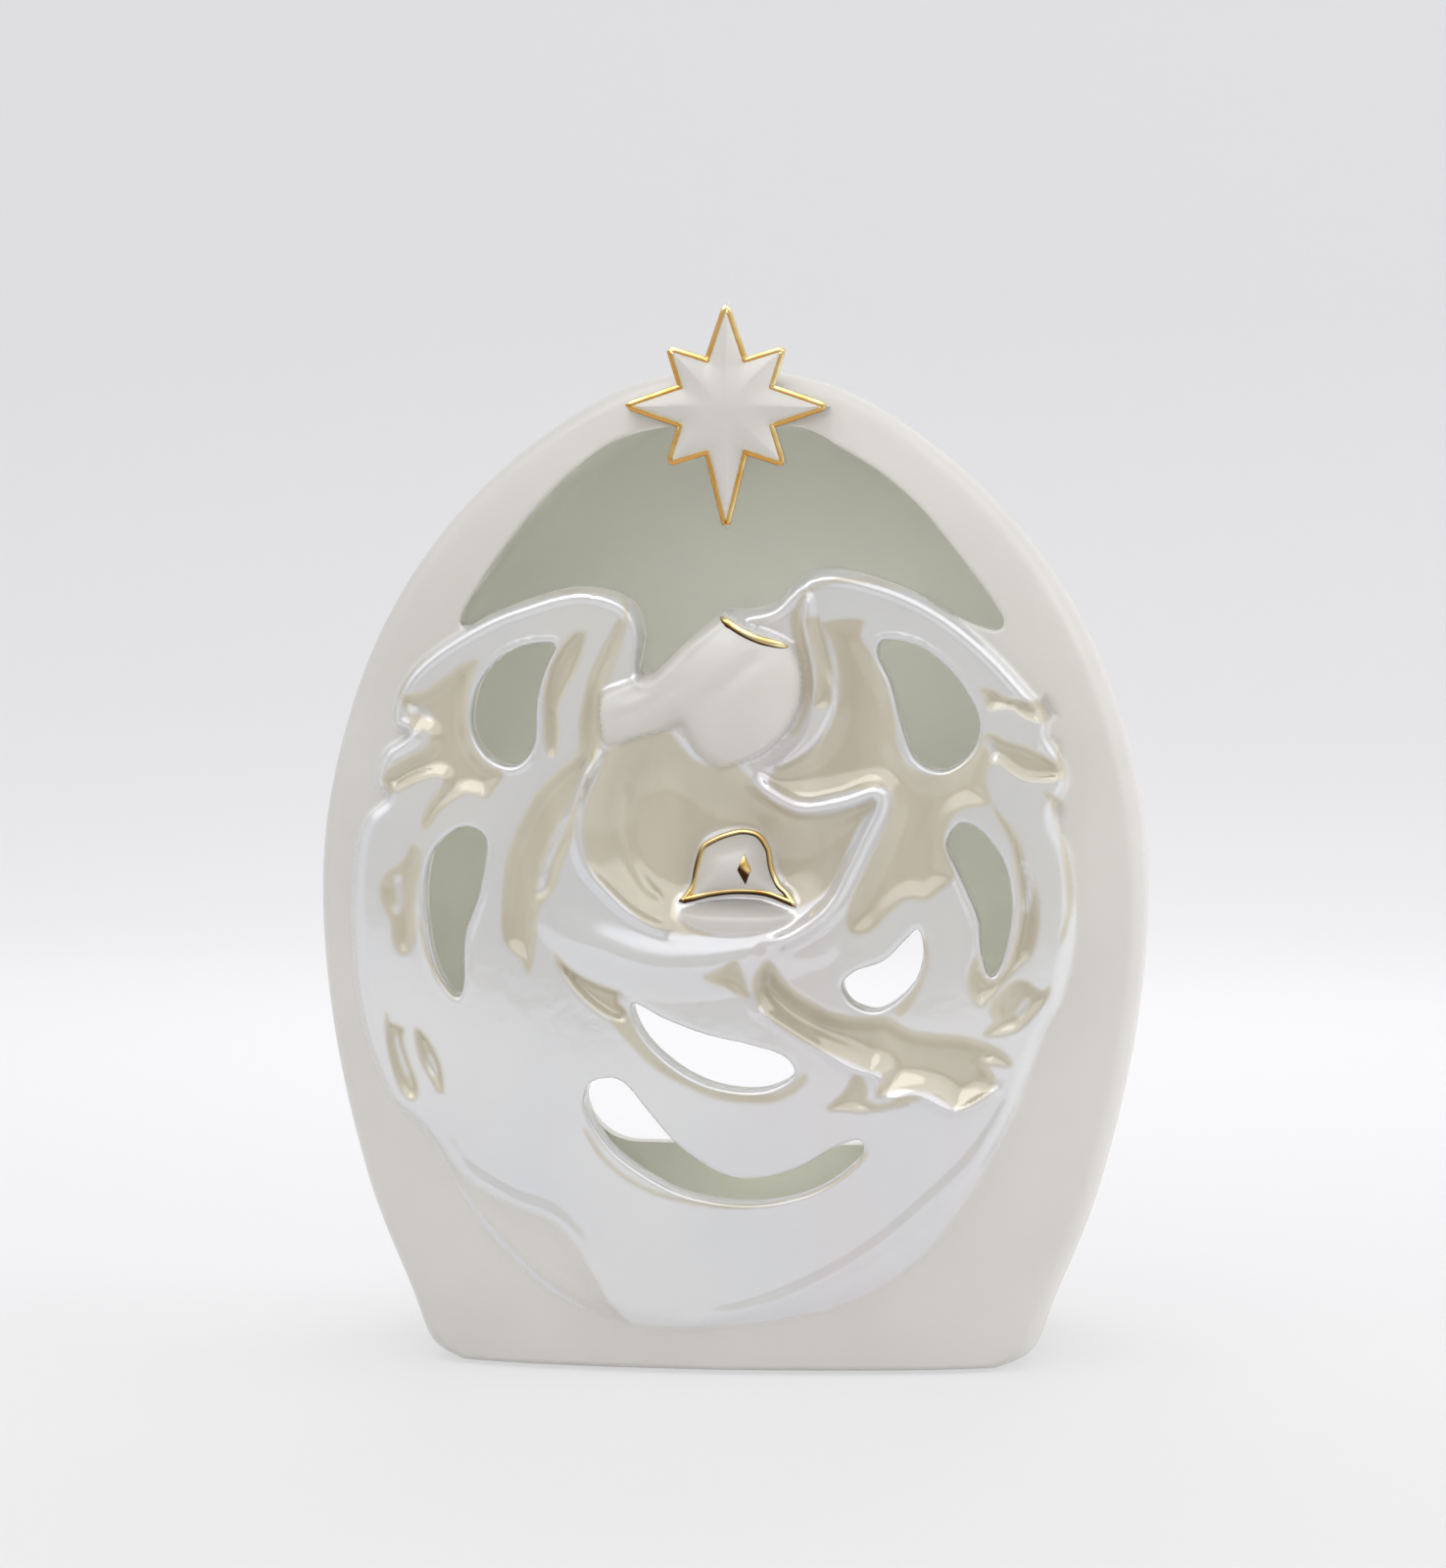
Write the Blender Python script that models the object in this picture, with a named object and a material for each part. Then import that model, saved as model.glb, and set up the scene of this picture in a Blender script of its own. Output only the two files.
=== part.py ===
"""Angel candle holder: an egg-shaped porcelain shell with a pierced relief front and an open back.

The front looks along -Y, the base stands on z = 0, and x = 0 is the middle. Sizes are millimetres.
"""

import math

import bmesh
import bpy
import numpy as np
from mathutils import Vector
from mathutils.geometry import delaunay_2d_cdt

MM = 0.001

# Overall sizes of the shell, without the star
WIDTH = 134.0
HEIGHT = 162.0
DEPTH = 66.0

# Casting
WALL = 4.0
FLOOR = 5.0
CROWN = 9.0
RELIEF = 1.0

# Rounding of the shell's edge, towards the front and towards the back. The front swells forward by the
# crown, as if its sides ran on below the base.
FRONT_ROUND = 3.0
FRONT_RUN = 8.0
BACK_ROUND = 8.0
BACK_RUN = 14.0
BACK_SWELL = 2.0
BELLY = 0.6
BASE_SHARE = 0.4
LINING_ROUND = 1.2
CROWN_SPREAD = 16.0
CROWN_BELOW = 60.0
TAPER = 0.04

# Back opening
OPENING_WIDTH = 62.0
SILL = 27.0
OPENING_TOP = 88.0
OPENING_SPRING = 55.0
OPENING_CORNER = 0.3

# Star on the arch
STAR_ARM = 16.4
STAR_DROP = 19.8
STAR_SIDE_ARM = 13.2
STAR_VALLEY = 8.0
STAR_BELOW_TOP = 6.9
STAR_THICK = 3.0
STAR_SUNK = 2.0
STAR_RISE = 3.4

# Mesh steps. The carved front starts with fine facets, which are merged where the carving allows it.
OUTLINE_STEP = 5.2
EDGE_STEP = 2.2
OPENING_STEP = 4.0
FINE_STEP = 0.9
PLAIN_STEP = 6.5
BACK_STEP = 9.0
FRONT_TRIANGLES = 6400

# The front is drawn 134 wide and 162 high from a base line at -2.3, and is scaled to the sizes above
DRAWN_BASE = -2.3
ACROSS = WIDTH / 134.0
UP = HEIGHT / 162.0

# Right half of the shell's outline, from the middle of the base to the top
OUTLINE = [
    (20, -2.3), (43, -2.3), (49, 0.3), (52.6, 9), (59.6, 27), (65.1, 51), (67, 74),
    (65, 93), (58.6, 113.5), (48.3, 131), (34.2, 145.5), (17.4, 156), (0, 159.7),
]

# Openings of the front, each a closed run of points
ARCH_OPENING = [
    (-42.8, 118.2), (-41.5, 121.5), (-36.8, 128.7), (-30.5, 136.7), (-24.3, 142.8), (-17.4, 147.4),
    (-9, 149.4), (0, 149.8), (9, 149.6), (13.3, 148.8), (18.8, 145.7), (25.1, 141.7), (31.3, 136.1),
    (36.2, 130.1), (41, 123.9), (44, 119), (42.5, 117.4), (36.2, 119.7), (30, 123.4), (23.8, 125.7),
    (17.5, 127), (13, 126.2), (10, 123.7), (7.7, 121.5), (4, 120.6), (0, 120.4), (-5.5, 116),
    (-9, 112.5), (-11.6, 110.4), (-13.6, 111), (-13, 117), (-14.5, 121), (-17.4, 123), (-22, 124),
    (-26.5, 123.5), (-32, 121.8), (-37.5, 119.7), (-41.5, 117.6),
]
UPPER_LEFT = [
    (-27.2, 115), (-28.6, 111), (-30, 105.5), (-30.4, 99), (-33.5, 95.5), (-38, 97), (-40.6, 102),
    (-39.2, 109), (-34, 114),
]
UPPER_RIGHT = [
    (25.5, 116), (31, 115), (36.8, 110.2), (40.3, 104), (39.5, 98.5), (35, 95.2), (30.5, 97),
    (28.2, 102.5), (26.5, 109), (24.4, 113.6),
]
LOWER_LEFT = [
    (-42.5, 85.5), (-38.2, 83.8), (-39.2, 75.5), (-41.7, 68), (-42, 60.4), (-43.4, 58.4), (-46.8, 63.5),
    (-48.3, 73), (-47.2, 81),
]
LOWER_RIGHT = [
    (37.8, 87), (41.5, 85.2), (44.8, 80), (45.8, 73), (44.5, 65.5), (42.5, 62.4), (41, 66),
    (40.3, 72), (37.5, 78.5), (35.4, 83.6),
]
SLEEVE_SLOT = [
    (-14.5, 57.8), (-9.5, 55.4), (-3, 53), (4.3, 51.3), (9.8, 49.5), (11.2, 46.5), (6.5, 44),
    (0, 44.2), (-5.7, 46.3), (-10.7, 50), (-13.8, 54),
]
CRESCENT = [
    (-19.5, 45.6), (-16, 45), (-11.7, 40), (-7, 34.8), (0, 30.5), (6, 30), (12, 31.7), (18.6, 35.4),
    (22, 36), (21.5, 32.8), (15, 28), (6, 25.7), (-3, 26.2), (-10, 28.6), (-17.7, 33.8), (-22, 40.2),
    (-22, 43.8),
]
TEARDROP = [
    (31, 70), (31.8, 66), (30, 61), (25, 57), (20.5, 58), (18.9, 61), (21, 63.3), (25.5, 65), (29, 68.4),
]
WING_HOLES = [UPPER_LEFT, UPPER_RIGHT, LOWER_LEFT, LOWER_RIGHT]
FRONT_HOLES = [ARCH_OPENING, *WING_HOLES, SLEEVE_SLOT, CRESCENT, TEARDROP]

# Relief. The angel's outline runs down the left wing, along the hem and up the right wing to the head.
ANGEL = [
    (-13.2, 111), (-13, 117), (-14.5, 121), (-17.4, 123), (-22, 124), (-26.5, 123.5), (-32, 121.8),
    (-37.5, 119.7), (-44.5, 115.8), (-49.5, 112), (-52.5, 108.3), (-54, 104), (-53.5, 101),
    (-51.5, 100.2), (-55, 98), (-56.7, 94.5), (-56.7, 91.5), (-54.8, 90.2), (-58.2, 87), (-60, 82.5),
    (-60.8, 75), (-60.8, 67), (-60.2, 59), (-58.6, 51), (-56.4, 45), (-54, 40.5), (-51, 38.2),
    (-48.6, 35.8), (-45.4, 31), (-40.8, 22.8), (-34.9, 16), (-28.3, 10.4), (-20.4, 7), (-12.5, 5.4),
    (-3, 5.4), (9.6, 6.8), (22.3, 10.6), (31.8, 17.4), (39.2, 27), (43.6, 34.8), (46.6, 41),
    (48.2, 45.2), (50.5, 52), (53.5, 58), (55.5, 66), (55.8, 74), (55, 82), (52.6, 88), (54.6, 92.8),
    (53.9, 97), (51.6, 100.8), (51.4, 104.2), (47.6, 109), (42.5, 114.5), (36.3, 119.7), (30, 123.4),
    (23.8, 125.7), (17.5, 127), (13, 126.2), (10, 123.7), (7.7, 121.5), (4, 120.6), (0, 120.4),
    (-5.5, 116), (-9, 112.5), (-11.6, 110.4),
]
BOWL = [
    (-18, 97.3), (-21, 91.7), (-22.4, 84.5), (-21.2, 79), (-16.9, 74), (-11.7, 70.8), (-6.2, 69.5),
    (4.9, 69.2), (12, 71.6), (17.5, 76.6), (19.4, 83.8), (21, 88.6), (12.8, 88), (8, 90.7),
    (4.1, 94.6), (0.2, 95.3), (-6.2, 99.9), (-12.5, 99.5),
]
BELL = [
    (-7.4, 73.5), (-2.5, 74.5), (1.9, 75), (6.6, 74.7), (11.7, 73.2), (10.6, 75.7), (9, 77.1),
    (7.9, 79.6), (7.4, 82.6), (5.7, 85.1), (3.3, 85.8), (1.1, 85.5), (-1.7, 84.5), (-4, 82.9),
    (-5.1, 79.6), (-5.7, 76.6),
]
BELL_MOUTH = [(-7, 72.8), (2, 74.2), (11.2, 72.4), (9, 70.2), (2, 69), (-4.6, 69.9)]
HEAD_BAND = [
    (12.8, 124.7), (12, 118.4), (13.4, 109), (12.6, 102.6), (9.6, 98.6), (6.2, 95.6), (9.6, 95.2),
    (14.4, 98.2), (17.5, 102.7), (18.3, 107.5), (16.9, 112.5), (15.4, 118.5), (14.6, 123),
]
LEFT_DISH = [
    (-52.3, 106.4), (-48.5, 107.4), (-44.9, 109.7), (-42.2, 111.8), (-39.5, 112.3), (-40.1, 110.1),
    (-41.1, 106.3), (-41.1, 101.9), (-40, 98.4), (-37.8, 95.9), (-35.2, 94.4), (-36.5, 92.2),
    (-38.2, 90.2), (-40, 90.8), (-41.7, 90.8), (-44.9, 88.8), (-46.6, 86.6), (-47.7, 85.1),
    (-48.8, 85.6), (-48.3, 88.1), (-46.9, 90.4), (-45.3, 92.6), (-46.3, 93.5), (-49.6, 92.5),
    (-53.9, 90.5), (-55.3, 92.3), (-54.8, 94.3), (-52, 96.3), (-48.5, 98.2), (-47.4, 99.8),
    (-48.5, 100.8), (-50.4, 101), (-51.5, 103.9),
]
SLIVER = [
    (-25.9, 115.1), (-23.9, 117.1), (-22, 117.1), (-22, 115.8), (-22.6, 113.3), (-23.9, 110.1),
    (-25.4, 107.2), (-26.4, 104.7), (-26.2, 101.1), (-26.5, 98), (-27.6, 96.8), (-28.6, 98.3),
    (-28.9, 102.6), (-28.8, 107.3), (-28, 111), (-27, 113.2),
]
LONG_STRIP = [
    (-18.5, 116.2), (-16.6, 119.4), (-16.1, 117.8), (-17.2, 113.9), (-19.1, 108.6), (-19, 104.4),
    (-19.4, 99.6), (-21, 94.8), (-23.2, 88.5), (-24.2, 83.7), (-25.8, 79.7), (-27, 75.8),
    (-29.5, 72.6), (-30, 67.8), (-30.5, 64.2), (-31.3, 62.2), (-32.7, 64.6), (-35.1, 66.9),
    (-35.7, 70.1), (-35.5, 75.6), (-34.8, 81.1), (-33, 85.9), (-29.9, 91.5), (-26.4, 95.2),
    (-23.5, 97.9), (-23.2, 102.7), (-22, 108.2), (-20.4, 112.7),
]
LEFT_SCOOP = [
    (-50.2, 83), (-48.7, 81.5), (-48.8, 78.5), (-49.6, 75.3), (-49.8, 72.1), (-49.6, 68.2),
    (-50.7, 65.3), (-52.4, 65), (-53.6, 66.9), (-54, 70), (-55.5, 73.1), (-55.8, 76), (-54.7, 78.2),
    (-52, 80.2),
]
LEAF = [
    (-55, 55.6), (-53.9, 53.9), (-51.7, 53), (-51.8, 50.8), (-50.7, 47.3), (-49.4, 43.6),
    (-49.9, 41.5), (-51.5, 41.5), (-53.1, 43.8), (-54.2, 47.3), (-55, 51.5),
]
SMALL_LEAF = [
    (-50.2, 52.9), (-48.5, 52.4), (-46.8, 49.9), (-45.5, 46.8), (-45.2, 43.3), (-46.1, 42.7),
    (-47.6, 44.9), (-49.3, 48.1),
]
ARM_FOLD = [
    (-27.3, 66.1), (-24.8, 63.6), (-21.3, 61.5), (-17.2, 60), (-16.1, 59.7), (-16.6, 58.1),
    (-15.3, 56.6), (-15.6, 54.7), (-18.8, 55.5), (-22.3, 58), (-25.1, 61.1), (-26.7, 63.6),
]
SLEEVE_START = [
    (-3.3, 62.2), (-0.6, 63.7), (2.1, 65.3), (3, 63.7), (3.8, 61.4), (4.3, 58.9), (2.5, 59.5),
    (0.2, 60.5),
]
SLEEVE = [
    (5.7, 63.8), (7, 65.1), (8.1, 64.6), (9.6, 62.3), (12, 60), (15.2, 58.1), (17.5, 56.9),
    (22.3, 56.2), (26.2, 56.3), (28.6, 54.8), (31.8, 53.7), (37.3, 53.2), (41.2, 52.3),
    (44.4, 50.8), (46, 48.8), (45.2, 48), (42.5, 48.2), (43.4, 46.1), (42.5, 44), (39.7, 41.9),
    (36.8, 41.5), (34.1, 43.3), (31, 44.2), (27.8, 44.2), (24.6, 43.1), (24.3, 44.4), (25.4, 46),
    (24.6, 47.3), (23.1, 47.5), (19.1, 49.4), (12.8, 52.1), (8.1, 55.1), (5.2, 58.6), (4.6, 61.4),
]
POCKET = [
    (16.4, 41.4), (19.1, 44), (20.7, 46.7), (22.3, 46.3), (23.1, 44.7), (23.1, 42.8), (25.4, 42.2),
    (28.6, 43.5), (31.8, 43.3), (29.4, 42.1), (26.2, 41.3), (22.3, 40.7), (19.1, 41),
]
RIGHT_HOLLOW = [
    (15.6, 118.5), (19.1, 119.3), (22.3, 119.1), (21.8, 116.7), (23.5, 113.6), (25.9, 108.9),
    (27.2, 103.7), (27.6, 99.4), (29.5, 96.3), (32.7, 94.8), (36.2, 95.2), (39.3, 97.5),
    (41.2, 100.4), (42.2, 97.7), (41.7, 93.7), (42.5, 90.3), (40.4, 89.6), (38.1, 89.2),
    (36.2, 87.6), (35.2, 84.9), (35.9, 81), (36.8, 78.6), (34.6, 76.2), (32.2, 74.7), (29.4, 74.8),
    (26.7, 72.9), (24.3, 70.3), (22, 69.2), (20.2, 69.6), (19.6, 72), (20.7, 75.9), (22.9, 80.4),
    (25.1, 85.2), (26.5, 89), (26.7, 91.5), (25.1, 92.8), (20.7, 92.2), (16, 91.2), (11.5, 90.9),
    (8.7, 92.1), (7.3, 94.3), (10.4, 96.6), (14.7, 99.2), (17.2, 103), (18.3, 107.8), (18, 112.5),
    (16.9, 116.1),
]
RIGHT_STRIP = [
    (42.5, 89.6), (44.7, 87.8), (46.9, 84.7), (47.9, 81.5), (49.1, 78.9), (50.1, 74.9),
    (50.1, 70.2), (49.1, 66.2), (47.6, 64.6), (45.3, 62.2), (43.1, 59.8), (41.2, 57.9),
    (39.7, 58.9), (38.7, 62.1), (39.3, 64.6), (40.3, 66.1), (41.2, 63.4), (42.5, 62.1),
    (44.4, 63.4), (46, 67.7), (46.9, 73.3), (46.4, 78.8), (45.3, 84),
]
RIGHT_PATCH = [
    (43.1, 59.3), (46, 61.9), (48.3, 61.9), (50.4, 60.4), (52, 61.1), (51.7, 59.2), (49.9, 56.8),
    (47.9, 54.7), (46, 53.5), (42.8, 53), (41.2, 53.4), (42.8, 55.5), (42.3, 57.7),
]
UPPER_SCOOP = [
    (40.6, 108.6), (42.8, 108.3), (44.4, 107.2), (47.6, 106.5), (49.4, 106.5), (50.7, 107.8),
    (52.3, 105.9), (53.2, 103.4), (50.7, 102.8), (47.6, 103.6), (45.2, 105.2), (42, 104.8),
    (41.1, 106.7),
]
MIDDLE_SCOOP = [
    (40.9, 101), (42.8, 101.3), (44.4, 100.4), (47.6, 99.4), (49.9, 98.3), (52.6, 96.8),
    (52.3, 98.7), (51, 101), (53.1, 100), (54.3, 96.3), (54.2, 94), (50.7, 93.4), (47.6, 93.8),
    (45.2, 95.1), (43.4, 96.6), (42.2, 95.9), (41.5, 97.7),
]
WING_EDGE = [
    (50.7, 92), (53.1, 90.8), (54.2, 88.4), (53.7, 86.1), (54.8, 81.3), (55.6, 76.6), (55, 71.9),
    (53.9, 67.9), (53.4, 68.7), (54.3, 73.4), (54, 79), (53.1, 85.3), (52, 89.2),
]
HEAD_STRIP = [
    (13.1, 119.4), (15, 119.7), (16, 117.2), (17.2, 112.2), (17.5, 108.2), (16.9, 105.6),
    (14.5, 105.5), (15, 109), (14.7, 112.9), (13.7, 116.9),
]
HEAD_GAP = [
    (10.6, 118.4), (11.5, 114.4), (12.6, 110.5), (12.6, 107), (11.4, 103.4), (9, 99.9), (6.2, 97.4),
    (4.1, 95.7), (5.2, 95.2), (8.4, 97.5), (11.8, 101), (13.9, 105.5), (14.4, 109.3), (13.7, 114),
    (12.6, 118.1), (11.8, 121.2), (10.9, 120.8),
]
UNDER_HEM = [
    (-47.2, 36.7), (-42.5, 29.6), (-34.6, 25.1), (-28.3, 22.8), (-24.3, 19.4), (-21.6, 14.7),
    (-18.5, 9.6), (-14.4, 4.5), (-22, 7.9), (-30.6, 13.6), (-37.8, 21), (-43.3, 28),
]
HEAD_OUTLINE = [
    (-0.2, 120.4), (4.1, 118.2), (9.6, 116), (11.7, 114), (12.6, 110.5), (12.3, 106.9),
    (10.9, 103.2), (8.8, 100.5), (6.5, 98.4), (4.1, 97.1), (1.4, 96.1), (-0.9, 95.6), (-3, 96.8),
    (-5.2, 99.1), (-7.1, 101), (-9.3, 101.4), (-14.1, 100.2), (-18.5, 98.7), (-19.4, 102.3),
    (-19.6, 105.9), (-18.6, 107.8), (-15.6, 109), (-12.5, 110.5), (-9.3, 112.8), (-6.2, 115.7),
    (-3, 118.4),
]

# Raised or sunk areas: outline, rise, width over which the edge rounds up
AREAS = [
    (BELL, 6.0, 2.4),
    (BELL_MOUTH, 3.4, 1.8),
    (HEAD_BAND, 1.9, 1.8),
    (LEFT_DISH, -1.5, 2.6),
    (SLIVER, -1.2, 1.5),
    (LONG_STRIP, -1.3, 2.4),
    (LEFT_SCOOP, -1.0, 2.4),
    (LEAF, -1.1, 1.3),
    (SMALL_LEAF, -1.0, 1.2),
    (ARM_FOLD, -1.6, 1.4),
    (SLEEVE_START, -0.9, 2.0),
    (SLEEVE, -2.2, 3.4),
    (POCKET, -0.9, 1.6),
    (RIGHT_HOLLOW, -1.1, 3.5),
    (RIGHT_STRIP, -1.2, 1.8),
    (RIGHT_PATCH, -1.0, 1.8),
    (UPPER_SCOOP, -1.1, 1.4),
    (MIDDLE_SCOOP, -1.2, 1.6),
    (WING_EDGE, -0.6, 0.8),
    (HEAD_STRIP, -0.6, 1.2),
    (HEAD_GAP, -0.5, 1.0),
    (UNDER_HEM, -0.7, 3.4),
]

# The angel stands out more at its wings than at its hem
WING_RISE = 2.2
WING_EDGE_ROUND = 2.4
HEM_RISE = 1.4
HEM_EDGE_ROUND = 3.6
HEM_TOP = 48.0
BOWL_DEPTH = 5.0
BOWL_EDGE = 6.0

# Ridges and, with a negative height, grooves: run of points, half width of the foot, height
STROKES = [
    # bowl rim, and the fold inside it
    ([(-18.8, 98.8), (-22.4, 92.4), (-23.4, 85.5), (-22.2, 80), (-18.6, 75.6), (-14.2, 71.8), (-8, 69)],
     1.6, 0.9),
    ([(-15.6, 94), (-16, 86), (-14.5, 79.5), (-10.5, 73.9)], 1.6, 0.8),
    ([(-12, 76.4), (-9.4, 73.2)], 0.9, 0.5),
    # collar and the edge of the sleeve
    ([(3.8, 94.6), (8, 91.4), (12.8, 89.4), (19.1, 90.4), (25.4, 92)], 1.9, 2.4),
    ([(25.8, 90.6), (23.2, 85), (20.8, 80), (18.2, 74.6), (13, 71)], 1.9, 2.0),
    # arm below the bowl
    ([(-27, 74.5), (-22, 68.4), (-12.5, 64.4), (-3, 64.2), (4.9, 66), (14, 69)], 5.6, 1.6),
    # lower hem of the trailing sleeve
    ([(4.9, 57.4), (12.8, 52.4), (20, 48), (24.6, 46.4), (25.6, 43.4), (31, 43.4), (37.4, 41), (44.6, 45)],
     1.1, 0.8),
    # fold between the face and the hair
    ([(-6.4, 105.4), (-2, 107.6), (1.6, 110), (4.6, 112.6), (8, 114.6)], 2.4, -0.4),
    # left wing: feathers' crests
    ([(-53.6, 98.6), (-50.4, 99.6), (-48.4, 100.6)], 1.4, 0.5),
    ([(-20.6, 97), (-24.6, 88.4), (-28.4, 80.6), (-29.6, 75)], 1.5, 0.9),
    # right wing
    ([(33.6, 96.5), (33.2, 88), (31, 80)], 3.4, -0.5),
    # skirt folds
    ([(47.5, 44.5), (41.5, 35), (34.9, 28), (22.3, 17.4), (6.5, 9.3), (-9, 5.6)], 2.0, 0.45),
    ([(-46, 37.6), (-42.5, 30.6), (-34.6, 25.7), (-28.3, 23.4), (-24.3, 19.8), (-21.6, 15), (-18.5, 9.9)],
     2.6, 0.35),
]

# Face, cap of hair and its trailing end: middle, half width, half height, lean to the right, rise
HEAD = [
    (2.9, 107.4, 9.8, 12.5, 12.0, 6.6),
    (-3.6, 111.6, 6.6, 13.0, 50.0, 5.2),
    (-14.1, 104.8, 5.2, 11.0, 74.0, 3.8),
]
HEAD_BLEND = 3.0
HEAD_FULL = 0.6
HEAD_EDGE = 0.8
HEAD_HOLLOW = 0.55

# Rim along the top of both wings, and the lips of the wing holes
RIM_HALF = 1.3
RIM_HEIGHT = 0.9
RIM_FROM = 0.53 * HEIGHT
RIM_TO = 0.64 * HEIGHT
LIP_HALF = 1.0
LIP_HEIGHT = 0.4

# The glaze evens the folds and feathers out over this radius
GLAZE_SPREAD = 0.9


def rounded(points, closed):
    """A smooth run through the points, eight short steps to each span."""
    knots = (np.array(points, float) - (0, DRAWN_BASE)) * (ACROSS, UP)
    count = len(knots)
    spans = count if closed else count - 1
    run = []
    for i in range(spans):
        if closed:
            a, b, c, d = (knots[(i + k) % count] for k in (-1, 0, 1, 2))
        else:
            a, b, c, d = (knots[min(max(i + k, 0), count - 1)] for k in (-1, 0, 1, 2))
        for t in np.linspace(0, 1, 8, endpoint=False):
            bend = (2 * a - 5 * b + 4 * c - d) * t**2 + (3 * b - a - 3 * c + d) * t**3
            run.append(0.5 * (2 * b + (c - a) * t + bend))
    if not closed:
        run.append(knots[-1])
    return np.array(run)


def even(run, step, closed):
    """The same run with points an equal way apart."""
    path = np.vstack([run, run[:1]]) if closed else run
    along = np.concatenate([[0], np.cumsum(np.linalg.norm(np.diff(path, axis=0), axis=1))])
    count = max(8, round(along[-1] / step))
    at = np.linspace(0, along[-1], count + (not closed), endpoint=not closed)
    return np.column_stack([np.interp(at, along, path[:, 0]), np.interp(at, along, path[:, 1])])


def distance(spots, run, closed):
    """How far each spot is from the run."""
    path = np.vstack([run, run[:1]]) if closed else run
    starts = path[:-1]
    steps = np.diff(path, axis=0)
    lengths = np.maximum((steps**2).sum(axis=1), 1e-12)
    nearest = np.full(len(spots), np.inf)
    for first in range(0, len(starts), 32):
        part = slice(first, first + 32)
        away = spots[:, None] - starts[part]
        share = np.clip((away * steps[part]).sum(axis=2) / lengths[part], 0, 1)
        miss = away - share[..., None] * steps[part]
        nearest = np.minimum(nearest, (miss**2).sum(axis=2).min(axis=1))
    return np.sqrt(nearest)


def inside(spots, loop):
    """Whether each spot lies inside the closed loop."""
    within = np.zeros(len(spots), bool)
    for (x0, z0), (x1, z1) in zip(loop, np.roll(loop, -1, axis=0)):
        if z0 == z1:
            continue
        crosses = (spots[:, 1] < z0) != (spots[:, 1] < z1)
        reach = x0 + (spots[:, 1] - z0) * (x1 - x0) / (z1 - z0)
        within ^= crosses & (spots[:, 0] < reach)
    return within


def depth_inside(spots, loop):
    """Distance from the loop, negative outside it."""
    gap = distance(spots, loop, True)
    return np.where(inside(spots, loop), gap, -gap)


def near(spots, run, reach):
    """Which spots lie in the run's box, widened by the reach."""
    return ((spots > run.min(axis=0) - reach) & (spots < run.max(axis=0) + reach)).all(axis=1)


def depth_near(spots, loop, reach):
    """Depth inside the loop, cut off at the reach outside it."""
    depth = np.full(len(spots), -float(reach))
    close = near(spots, loop, reach)
    depth[close] = np.maximum(depth_inside(spots[close], loop), -reach)
    return depth


def shoulder(share):
    return np.sin(np.clip(share, 0, 1) * math.pi / 2)


def ease(share):
    share = np.clip(share, 0, 1)
    return share * share * (3 - 2 * share)


def hump(share):
    return np.cos(np.clip(np.abs(share), 0, 1) * math.pi / 2) ** 2


def shell_outline():
    right = rounded(OUTLINE[1:], False)
    base = right[:1] * (1, 0)
    left = right[-2::-1] * (-1, 1)
    loop = even(np.vstack([base, right, left]), OUTLINE_STEP, True)
    loop[np.abs(loop[:, 1]) < 0.2, 1] = 0
    return loop


SHELL = shell_outline()
FINE_SHELL = np.vstack([rounded(OUTLINE[1:], False), rounded(OUTLINE[1:], False)[-2::-1] * (-1, 1)])
SIDE = rounded(OUTLINE[2:], False)
BELOW = SIDE[0] - (SIDE[8] - SIDE[0]) / np.linalg.norm(SIDE[8] - SIDE[0]) * CROWN_BELOW
CROWN_SHELL = np.vstack([BELOW, SIDE, SIDE[-2::-1] * (-1, 1), BELOW * (-1, 1)])
BOWL_LOOP = rounded(BOWL, True)
EDGE_Y = -DEPTH / 2


def outward(loop):
    """Outward normals of a loop that runs anticlockwise seen from the front."""
    along = np.roll(loop, -1, axis=0) - np.roll(loop, 1, axis=0)
    along /= np.linalg.norm(along, axis=1)[:, None]
    return np.column_stack([along[:, 1], -along[:, 0]])


def inset(amount):
    """The shell's outline moved inwards, less so along the base."""
    normals = outward(SHELL)
    share = 1 - (1 - BASE_SHARE) * np.clip(-normals[:, 1], 0, 1) ** 4
    return SHELL - normals * (amount * share)[:, None]


def belly():
    """The shell's outline moved outwards at its sides."""
    across = outward(SHELL)[:, 0]
    return SHELL + np.column_stack([BELLY * across * np.abs(across), np.zeros(len(SHELL))])


def head_bump(spots):
    """The face and hair, each a flat egg, run softly into one another."""
    total = np.zeros(len(spots))
    for x, z, half, tall, lean, rise in HEAD:
        away = spots - np.array([x * ACROSS, (z - DRAWN_BASE) * UP])
        turn = math.radians(lean)
        across = away[:, 0] * math.cos(turn) - away[:, 1] * math.sin(turn)
        along = away[:, 0] * math.sin(turn) + away[:, 1] * math.cos(turn)
        share = (across / (half * ACROSS)) ** 2 + (along / (tall * UP)) ** 2
        total += (rise * ACROSS * np.clip(1 - share, 0, 1) ** HEAD_FULL) ** HEAD_BLEND
    edge = ease(depth_near(spots, rounded(HEAD_OUTLINE, True), 1.0) / HEAD_EDGE + 0.5)
    return total ** (1 / HEAD_BLEND) * edge


def bowl_dip(spots):
    return BOWL_DEPTH * ease(depth_inside(spots, BOWL_LOOP) / BOWL_EDGE)


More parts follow.
